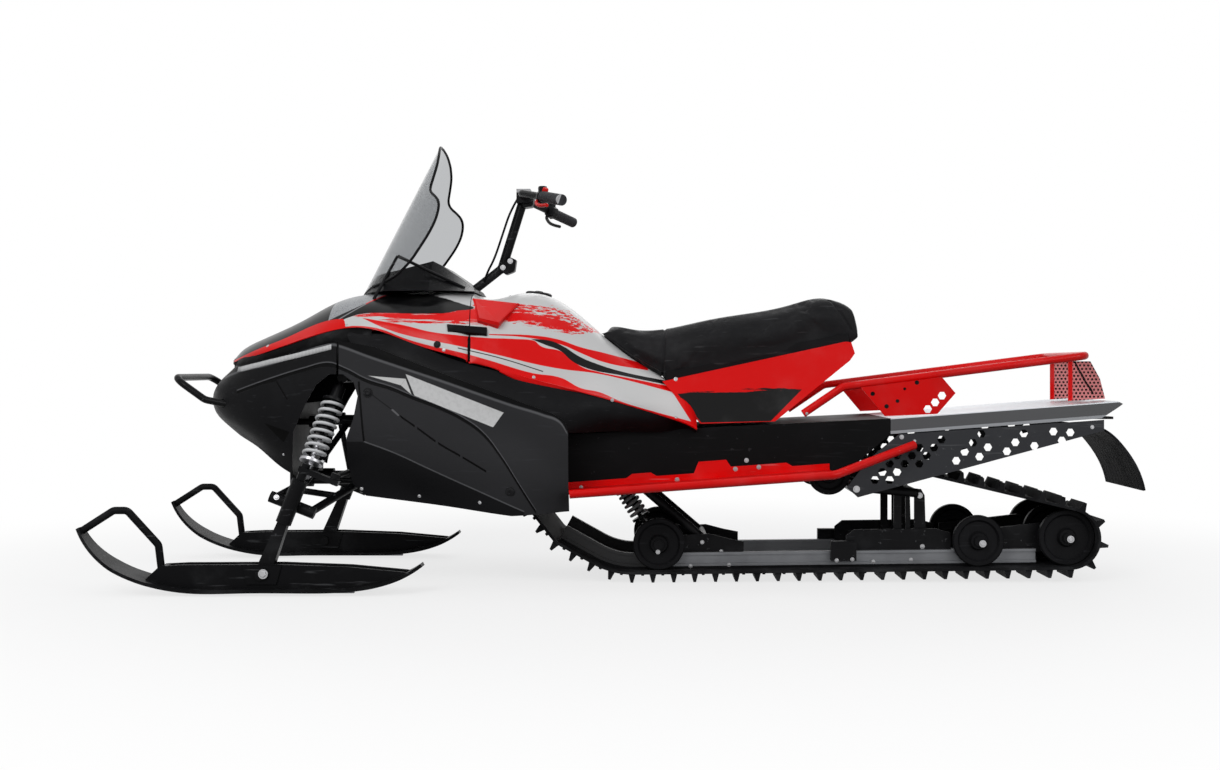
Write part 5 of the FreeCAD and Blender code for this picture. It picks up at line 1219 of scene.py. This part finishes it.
def raised_patch(name, corners, lifts, inset, material):
    """A faceted form that stands on the bodywork, on both sides of the machine."""
    shape = bmesh.new()
    for side, _ in SIDES:
        seats = [on_body(x, z, side) for x, z in corners]
        middle = sum((spot for spot, _ in seats), Vector()) / len(seats)
        loops = [[], [], []]
        for (spot, normal), lift in zip(seats, lifts):
            loops[0].append(shape.verts.new(spot - normal * PATCH_SINK))
            loops[1].append(shape.verts.new(spot + normal * lift * PATCH_FLANK))
            loops[2].append(shape.verts.new(spot.lerp(middle, inset) + normal * lift))
        wall(shape, loops)
    mesh_piece(name, shape, material)


def make_scoops_and_latches():
    """The red scoops on the body's shoulders and the black latches at the hood's rear edge."""
    latch_rubber = rubber("latch_rubber", BLACK, 0.55).material
    raised_patch("side_scoops", SCOOP_CORNERS, SCOOP_LIFTS, SCOOP_INSET, red_paint("scoop_red"))
    raised_patch("hood_latches", LATCH_CORNERS, LATCH_LIFTS, LATCH_INSET, latch_rubber)


# Strips that close the joints of the bodywork
PANEL_HIGH = 0.80
PANEL_LOW = 0.60
HOOD_LOW = 0.62
HOOD_HIGH = 0.90
MARKER_STATIONS = [-1.19, -1.17, -1.14, -1.11, -1.08, -1.05, -1.02, -0.99, -0.96, -0.93, -0.90, -0.878]
MARKER_SECTION = [(0.004, -0.002), (0.0055, 0.003), (0.0195, 0.003), (0.021, -0.002)]
NOSE_LIP_END = -1.14
NOSE_LIP_STEP = 0.03
NOSE_LIP_RADIUS = 0.007
NOSE_LIP_SHIFT = Vector((0.004, 0.0, -0.004))
STRIP_THICKNESS = 0.002
STRIP_INSET = 0.006
HEM_STATIONS = [
    -1.235, -1.21, -1.18, -1.14, -1.10, -1.06, -1.02, -0.98, -0.94, -0.90, -0.87, -0.85, -0.82, -0.79,
    -0.76,
]
HEM_NOSE_END = -0.863
HEM_REST = 0.008
HEM_LIFT = Vector((0.0, 0.0, 0.010))
SEAMS = [
    ("nose_cone", -0.885, "side_panel", -0.835, [0.60, 0.63, 0.66, 0.68, 0.70, 0.715, 0.728]),
    ("hood", -0.495, "tank_shroud", -0.455,
     [0.674, 0.684, 0.692, 0.70, 0.705, 0.71, 0.72, 0.74, 0.77, 0.80, 0.83, 0.85, 0.87]),
]
WELT_HEIGHTS = [0.635, 0.65, 0.665, 0.68, 0.695, 0.71, 0.725, 0.74, 0.755]
WELT_REACH = 0.22
WELT_FLANK_END = -0.15
WELT_CROWN_END = -0.3
WELT_CROWN_HALF_STEPS = 4
WELT_CROWN_SHARE = 0.86
WELT_DIP = 0.01
WELT_LIFT = Vector((0.003, 0.0, 0.002))
WELT_RADIUS = 0.005


def make_markers():
    """The pale marker strips let into the top of the nose."""
    shape = bmesh.new()
    for side, _ in SIDES:
        rows = []
        for x in MARKER_STATIONS:
            top = edge_spot("nose_cone", x, side, PANEL_HIGH, PANEL_LOW)
            if top is not None:
                row = []
                for drop, lift in MARKER_SECTION:
                    spot, normal = side_cast("nose_cone", x, top.z - drop, side)
                    row.append(shape.verts.new(spot + normal * lift))
                rows.append(row)
        wall(shape, rows)
    mesh_piece("marker_strips", shape, marker_lens(), smooth=True)


def make_nose_lip():
    """A black lip that closes the joint between the hood's front edge and the nose."""
    lows = {}
    for vertex in nodes["hood"].data.vertices:
        spot = vertex.co
        if spot.x < NOSE_LIP_END and spot.y < 0.0:
            key = round(spot.y / NOSE_LIP_STEP)
            if key not in lows or spot.z < lows[key].z:
                lows[key] = spot.copy()
    half = [lows[key] for key in sorted(lows)]
    points = half + [Vector((spot.x, -spot.y, spot.z)) for spot in reversed(half)]
    points = [point + NOSE_LIP_SHIFT for point in points]
    cord_like("nose_lip", points, NOSE_LIP_RADIUS, moulded("lip_plastic", BLACK, 0.5).material)


def backing_strips(name, rows, material):
    """Thin strips along rows of an upper and a lower spot, a little inside the surface on each side."""
    shape = bmesh.new()
    for side, line in rows:
        inset = Vector((0.0, -side * STRIP_INSET, 0.0))
        depth = Vector((0.0, -side * STRIP_THICKNESS, 0.0))
        loops = []
        for upper, lower in line:
            spots = (upper, upper + depth, lower + depth, lower)
            loops.append([shape.verts.new(spot + inset) for spot in spots])
        wall(shape, loops)
    mesh_piece(name, shape, material, smooth=True)


def make_hem_seal():
    """Black strips behind the hood's hem, down to the top of the nose and the side panels."""
    rows = []
    for side, word in SIDES:
        line = []
        for x in HEM_STATIONS:
            below = "nose_cone" if x < HEM_NOSE_END else "side_panel_" + word
            hem = edge_spot("hood", x, side, HOOD_LOW, HOOD_HIGH)
            top = edge_spot(below, x, side, PANEL_HIGH, PANEL_LOW)
            if hem is not None and top is not None:
                rest = side_cast(below, x, top.z - HEM_REST, side)
                if rest and hem.z >= rest[0].z:
                    line.append((hem + HEM_LIFT, rest[0]))
        rows.append((side, line))
    backing_strips("hem_seal", rows, rubber("hem_rubber", INK, 0.6).material)


def make_seam_strips():
    """Black backing strips behind the joints of the nose, the side panels, the hood and the tank shroud."""
    rows = []
    for side, word in SIDES:
        for ahead, x_ahead, behind, x_behind, heights in SEAMS:
            behind = behind + "_" + word if behind not in nodes else behind
            line = []
            for z in heights:
                front = side_cast(ahead, x_ahead, z, side, SIDE_GUARD)
                back = side_cast(behind, x_behind, z, side, SIDE_GUARD)
                if back:
                    line.append((front[0] if front else Vector((x_ahead, back[0].y, z)), back[0]))
            rows.append((side, line))
    backing_strips("seam_strips", rows, rubber("seam_rubber", INK, 0.6).material)


def make_seat_welt():
    """A rubber welt in the joint of cushion and tank shroud, over the top and down both sides."""
    flanks = {}
    for side, _ in SIDES:
        flanks[side] = []
        for z in WELT_HEIGHTS:
            places = steps(WELT_REACH, WELT_FLANK_END)
            spot = first_spot(side_cast("tank_shroud", x, z, side, SIDE_GUARD) for x in places)
            if spot is not None:
                flanks[side].append(spot)
    edge = max(abs(flank[-1].y) for flank in flanks.values())
    foot = flanks[-1][-1].z - WELT_DIP
    crown = []
    for step in range(-WELT_CROWN_HALF_STEPS, WELT_CROWN_HALF_STEPS + 1):
        y = edge * WELT_CROWN_SHARE * step / WELT_CROWN_HALF_STEPS
        hits = (drop_cast("tank_shroud", x, y) for x in steps(WELT_REACH, WELT_CROWN_END))
        spot = first_spot(hit for hit in hits if hit and hit[0].z > foot)
        if spot is not None:
            crown.append(spot)
    points = [spot + WELT_LIFT for spot in flanks[-1] + crown + list(reversed(flanks[1]))]
    cord_like("seat_welt", points, WELT_RADIUS, trim_rubber("welt_rubber"))


# Struts and caps
STRUT_RADIUS = 0.005
STRUT_HEAD = (-0.700, 0.236, 0.997)
STRUT_FEET = [(-0.772, 0.245), (-0.500, 0.190)]
CAPS = [(-0.285, 0.042, 0.010), (-0.375, 0.014, 0.007)]
CAP_SINK = -0.004
CAP_SIDES = 28
CAP_RINGS = [(1.0, 0.55), (0.88, 0.9), (0.7, 1.0)]
CAP_KNOB = [(0.3, 0.5), (0.3, 1.25), (0.22, 1.35)]


def make_struts():
    """Two thin rods on each side that hold the windshield to the dash pod."""
    material = painted("strut_black", BLACK, 0.35).material
    for side, word in SIDES:
        head = Vector((STRUT_HEAD[0], STRUT_HEAD[1] * side, STRUT_HEAD[2]))
        for number, (x, y) in enumerate(STRUT_FEET):
            foot = first_spot(drop_cast(name, x, y * side) for name in ("dash_pod", "hood"))
            name = "shield_strut_%s_%d" % (word, number)
            cord_like(name, [head, head.lerp(foot, 0.5), foot], STRUT_RADIUS, material, order=2)


def make_caps():
    """The filler cap and the small switch boss on top of the bodywork."""
    group = Fasteners("filler_cap", moulded("cap_plastic", SOOT, 0.4).material)
    for x, radius, height in CAPS:
        spot, normal = drop_cast("tank_shroud", x, 0.0)
        rings = [(radius, CAP_SINK)] + scaled(CAP_RINGS, radius, height)
        group.ring_stack(spot, normal, rings, CAP_SIDES)
        group.ring_stack(spot, normal, scaled(CAP_KNOB, radius, height), HEX_SIDES)
    group.finish()


# Clamps and controls of the handlebar
RISER_CLAMP = [(-0.4137, 0.9713), (-0.376, 1.009), (-0.3555, 1.0001), (-0.3609, 0.9631), (-0.3883, 0.9522)]
RISER_CLAMP_HALF = 0.024
RISER_CLAMP_BEVEL = 0.002
RISER_BOLTS = [(-0.3979, 0.9754), (-0.3746, 0.996)]
RISER_BOLT_RADIUS = 0.0058
BAR_CAP = [
    (-0.3404, 1.2029), (-0.3349, 1.2097), (-0.3034, 1.2083), (-0.2979, 1.2001), (-0.3034, 1.17),
    (-0.3335, 1.1659),
]
BAR_CAP_HALF = 0.030
BAR_CAP_BEVEL = 0.0025
BAR_CAP_BOLTS = (-0.3289, -0.3094)
BAR_CAP_BOLT_SHARE = 0.6
BAR_CAP_BOLT_RADIUS = 0.0042
GRIP_END_BAND = 0.012
BLOCK_BACK = 0.034
BLOCK_RINGS = [(0.016, -0.004), (0.021, 0.0), (0.023, 0.022), (0.019, 0.03)]
BLOCK_SIDES = 8
BLOCK_TWIST = 0.3
SWITCH_BACK = 0.02
SWITCH_LIFT = Vector((0.0, 0.0, 0.016))
SWITCH_RINGS = [(0.013, 0.0), (0.014, 0.012), (0.012, 0.017), (0.006, 0.018)]
BUTTON_BACK = 0.012
BUTTON_WAY = Vector((0.3, -0.5, 1.0))
BUTTON_RINGS = [(0.009, 0.012), (0.0095, 0.026), (0.008, 0.030), (0.004, 0.031)]
BUTTON_SIDES = 16
LEVER_RADIUS = 0.0055
LEVER_BACK = 0.02
LEVER_ELBOW = Vector((-0.02, 0.0, -0.012))
LEVER_LINE = [(0.25, -0.036, -0.020), (0.6, -0.040, -0.022), (0.92, -0.034, -0.018)]
BAR_CABLE = [
    (-0.345, -0.02, 1.205), (-0.372, -0.03, 1.16), (-0.398, -0.032, 1.08), (-0.425, -0.03, 1.0),
    (-0.450, -0.022, 0.957), (-0.458, -0.014, 0.930),
]
BAR_CABLE_RADIUS = 0.0035


def bevelled_prism(name, outline, half, bevel, material):
    """A block on the steering with a side-view outline and softened edges, centred across the machine."""
    shape = bmesh.new()
    near = [shape.verts.new((x, -half, z)) for x, z in outline]
    far = [shape.verts.new((x, half, z)) for x, z in outline]
    wall(shape, [far, near])
    bmesh.ops.bevel(shape, geom=shape.edges[:], offset=bevel, segments=2, affect="EDGES")
    mesh_piece(name, shape, material, "steering")


def make_clamps():
    """The clamp plate at the riser's bend with its bolts, and the cap that holds the bar."""
    black = painted("clamp_black", BLACK, 0.35).material
    bevelled_prism("riser_clamp", RISER_CLAMP, RISER_CLAMP_HALF, RISER_CLAMP_BEVEL, black)
    bevelled_prism("bar_cap", BAR_CAP, BAR_CAP_HALF, BAR_CAP_BEVEL, black)
    bolts = Fasteners("clamp_bolts", metal("clamp_bolt_steel", STEEL, 0.3, stain=0.3).material, "steering")
    top = max(z for _, z in BAR_CAP)
    for side, _ in SIDES:
        for x, z in RISER_BOLTS:
            bolts.hexagon((x, side * RISER_CLAMP_HALF, z), (0.0, side, 0.0), RISER_BOLT_RADIUS)
    for side, _ in SIDES:
        for x in BAR_CAP_BOLTS:
            spot = (x, side * BAR_CAP_BOLT_SHARE * BAR_CAP_HALF, top)
            bolts.button(spot, (0.0, 0.0, 1.0), BAR_CAP_BOLT_RADIUS)
    bolts.finish()


def grip_ends(side):
    """The middle of the inner and of the outer end of one grip."""
    spots = [vertex.co for vertex in nodes["grips"].data.vertices if vertex.co.y * side > 0]
    inner = min(spot.y * side for spot in spots) + GRIP_END_BAND
    outer = max(spot.y * side for spot in spots) - GRIP_END_BAND
    near = [spot for spot in spots if spot.y * side < inner]
    far = [spot for spot in spots if spot.y * side > outer]
    return sum(near, Vector()) / len(near), sum(far, Vector()) / len(far)


def make_bar_controls():
    """Control blocks and levers at both grips, a red stop button and the cable down the riser."""
    black = painted("control_black", SOOT, 0.35).material
    red = painted("lever_red", LEVER_RED, 0.35).material
    for (side, word), lever_finish in zip(SIDES, (red, black)):
        inner, outer = grip_ends(side)
        along = (outer - inner).normalized()
        block = Fasteners("control_block_" + word, black, "steering")
        block.ring_stack(inner - along * BLOCK_BACK, along, BLOCK_RINGS, BLOCK_SIDES, BLOCK_TWIST)
        switch = inner - along * SWITCH_BACK + SWITCH_LIFT
        block.ring_stack(switch, (0.0, 0.0, 1.0), SWITCH_RINGS, HEX_SIDES)
        block.finish()
        root = inner - along * LEVER_BACK
        points = [root, root + LEVER_ELBOW]
        points += [inner.lerp(outer, share) + Vector((x, 0.0, z)) for share, x, z in LEVER_LINE]
        cord_like("lever_" + word, points, LEVER_RADIUS, lever_finish, "steering")
    inner, outer = grip_ends(-1)
    button = Fasteners("stop_button", red, "steering")
    place = inner - (outer - inner).normalized() * BUTTON_BACK
    button.ring_stack(place, BUTTON_WAY.normalized(), BUTTON_RINGS, BUTTON_SIDES)
    button.finish()
    cord_like("bar_cable", BAR_CABLE, BAR_CABLE_RADIUS, trim_rubber("bar_cable_rubber"), "steering")


# Places of the bolts and screws in the side view, with their radius
COVER_SCREWS = [
    ("side_panel", -0.764, 0.582, 0.011), ("side_panel", -0.339, 0.293, 0.011),
    ("hood", -0.562, 0.7247, 0.008),
]
PANEL_SCREWS = [
    ("side_panel", -0.790, 0.295, 0.0039), ("side_panel", -0.616, 0.274, 0.0039),
    ("side_panel", -0.431, 0.259, 0.0039), ("nose_cone", -1.040, 0.393, 0.0031),
    ("hood", -1.097, 0.7225, 0.0039), ("hood", -0.838, 0.783, 0.0039), ("hood", -0.542, 0.709, 0.0039),
    ("tank_shroud", -0.277, 0.6275, 0.0039), ("tank_shroud", -0.042, 0.5595, 0.0039),
    ("tank_shroud", 0.148, 0.507, 0.0039), ("seat_base", 0.149, 0.621, 0.0047),
]
FRAME_BOLTS = [
    ("kingpin_housings", -1.022, 0.277, 0.0055), ("running_boards", -0.138, 0.288, 0.0039),
    ("running_boards", -0.021, 0.292, 0.0062), ("running_boards", 0.1525, 0.317, 0.0047),
    ("running_boards", 0.329, 0.349, 0.0047), ("running_boards", 0.400, 0.355, 0.0047),
    ("tunnel", 0.363, 0.375, 0.0047), ("running_boards", 0.586, 0.333, 0.0047),
    ("side_plates", 0.696, 0.288, 0.007), ("side_plates", 0.833, 0.446, 0.0047),
    ("side_plates", 0.872, 0.434, 0.0031), ("side_plates", 1.410, 0.476, 0.0039),
    ("rack_frame", 0.546, 0.5168, 0.0031), ("swing_arms", 0.911, 0.258, 0.0062),
    ("idler_wheels", 1.089, 0.1173, 0.0074), ("idler_wheels", 1.358, 0.131, 0.0074),
    ("idler_wheels", 0.095, 0.091, 0.0047),
]
RAIL_BOLTS = [
    ("slide_rails", 0.196, 0.0425, 0.0047), ("slide_rails", 0.315, 0.0466, 0.0047),
    ("slide_rails", 0.761, 0.0564, 0.0047), ("slide_rails", 0.879, 0.0612, 0.0047),
    ("rail_fittings", 0.645, 0.0632, 0.0047), ("rail_fittings", 0.693, 0.0663, 0.0047),
    ("rail_fittings", 0.233, 0.114, 0.0047), ("rail_fittings", 0.292, 0.085, 0.0047),
    ("rail_fittings", 0.917, 0.1005, 0.0055),
]
RACK_HOLES = [
    ("rack_plates", 0.745, 0.577, 0.006), ("rack_plates", 0.879, 0.611, 0.006),
    ("rack_plates", 0.842, 0.592, 0.004), ("rack_plates", 0.787, 0.539, 0.006),
    ("rack_plates", 0.820, 0.555, 0.005),
]
SKI_BOLT_PLACE = (-1.0455, 0.061)
SKI_BOLT_RADIUS = 0.0095
SKI_BOLT_HEIGHT = 0.007
LAMP_CABLE = [(1.402, 0.676), (1.41, 0.655), (1.424, 0.635), (1.435, 0.61), (1.452, 0.59), (1.4585, 0.574)]
LAMP_CABLE_RADIUS = 0.0024


def place_all(name, table, material, kind="button"):
    """One group of fasteners, seated on both sides of the machine."""
    group = Fasteners(name, material)
    for node, x, z, radius in table:
        group.seat_both(node, x, z, kind, radius)
    group.finish()


def make_fasteners():
    """Screws of the panels, bolts of the frame and rails, and the skis' pivot bolts."""
    silver = metal("bolt_silver", STEEL, 0.3, stain=0.3).material
    place_all("cover_screws", COVER_SCREWS, painted("bolt_black", SOOT, 0.35).material)
    place_all("panel_screws", PANEL_SCREWS, silver)
    place_all("frame_bolts", FRAME_BOLTS, silver, "hexagon")
    place_all("rail_bolts", RAIL_BOLTS, silver)
    place_all("rack_hole_rims", RACK_HOLES, rubber("hole_black", INK, 0.8).material, "collar")
    for side, word in SIDES:
        pivot = Fasteners("ski_bolt_" + word, silver, "knuckle_l" if side < 0 else "knuckle_r")
        size = {"radius": SKI_BOLT_RADIUS, "height": SKI_BOLT_HEIGHT}
        pivot.seat("knuckle_" + word, *SKI_BOLT_PLACE, side, "hexagon", **size)
        pivot.finish()


def make_lamp_cable():
    """The tail lamp's lead, lying along the outside of its left bracket."""
    hits = [side_cast("rack_plates", x, z, -1, 0.0) for x, z in LAMP_CABLE]
    points = [hit[0] + Vector((0.0, -LAMP_CABLE_RADIUS, 0.0)) for hit in hits if hit]
    cord_like("lamp_cable", points, LAMP_CABLE_RADIUS, trim_rubber("cable_rubber"))


bpy.context.scene.view_settings.view_transform = "Standard"
make_camera()
make_world()
make_floor()
make_lamps()
dress_nodes()
make_cushion()
make_shield_trim()
make_seat_pan()
make_scoops_and_latches()
make_markers()
make_nose_lip()
make_hem_seal()
make_seat_welt()
make_seam_strips()
make_struts()
make_caps()
make_clamps()
make_bar_controls()
make_fasteners()
make_lamp_cable()
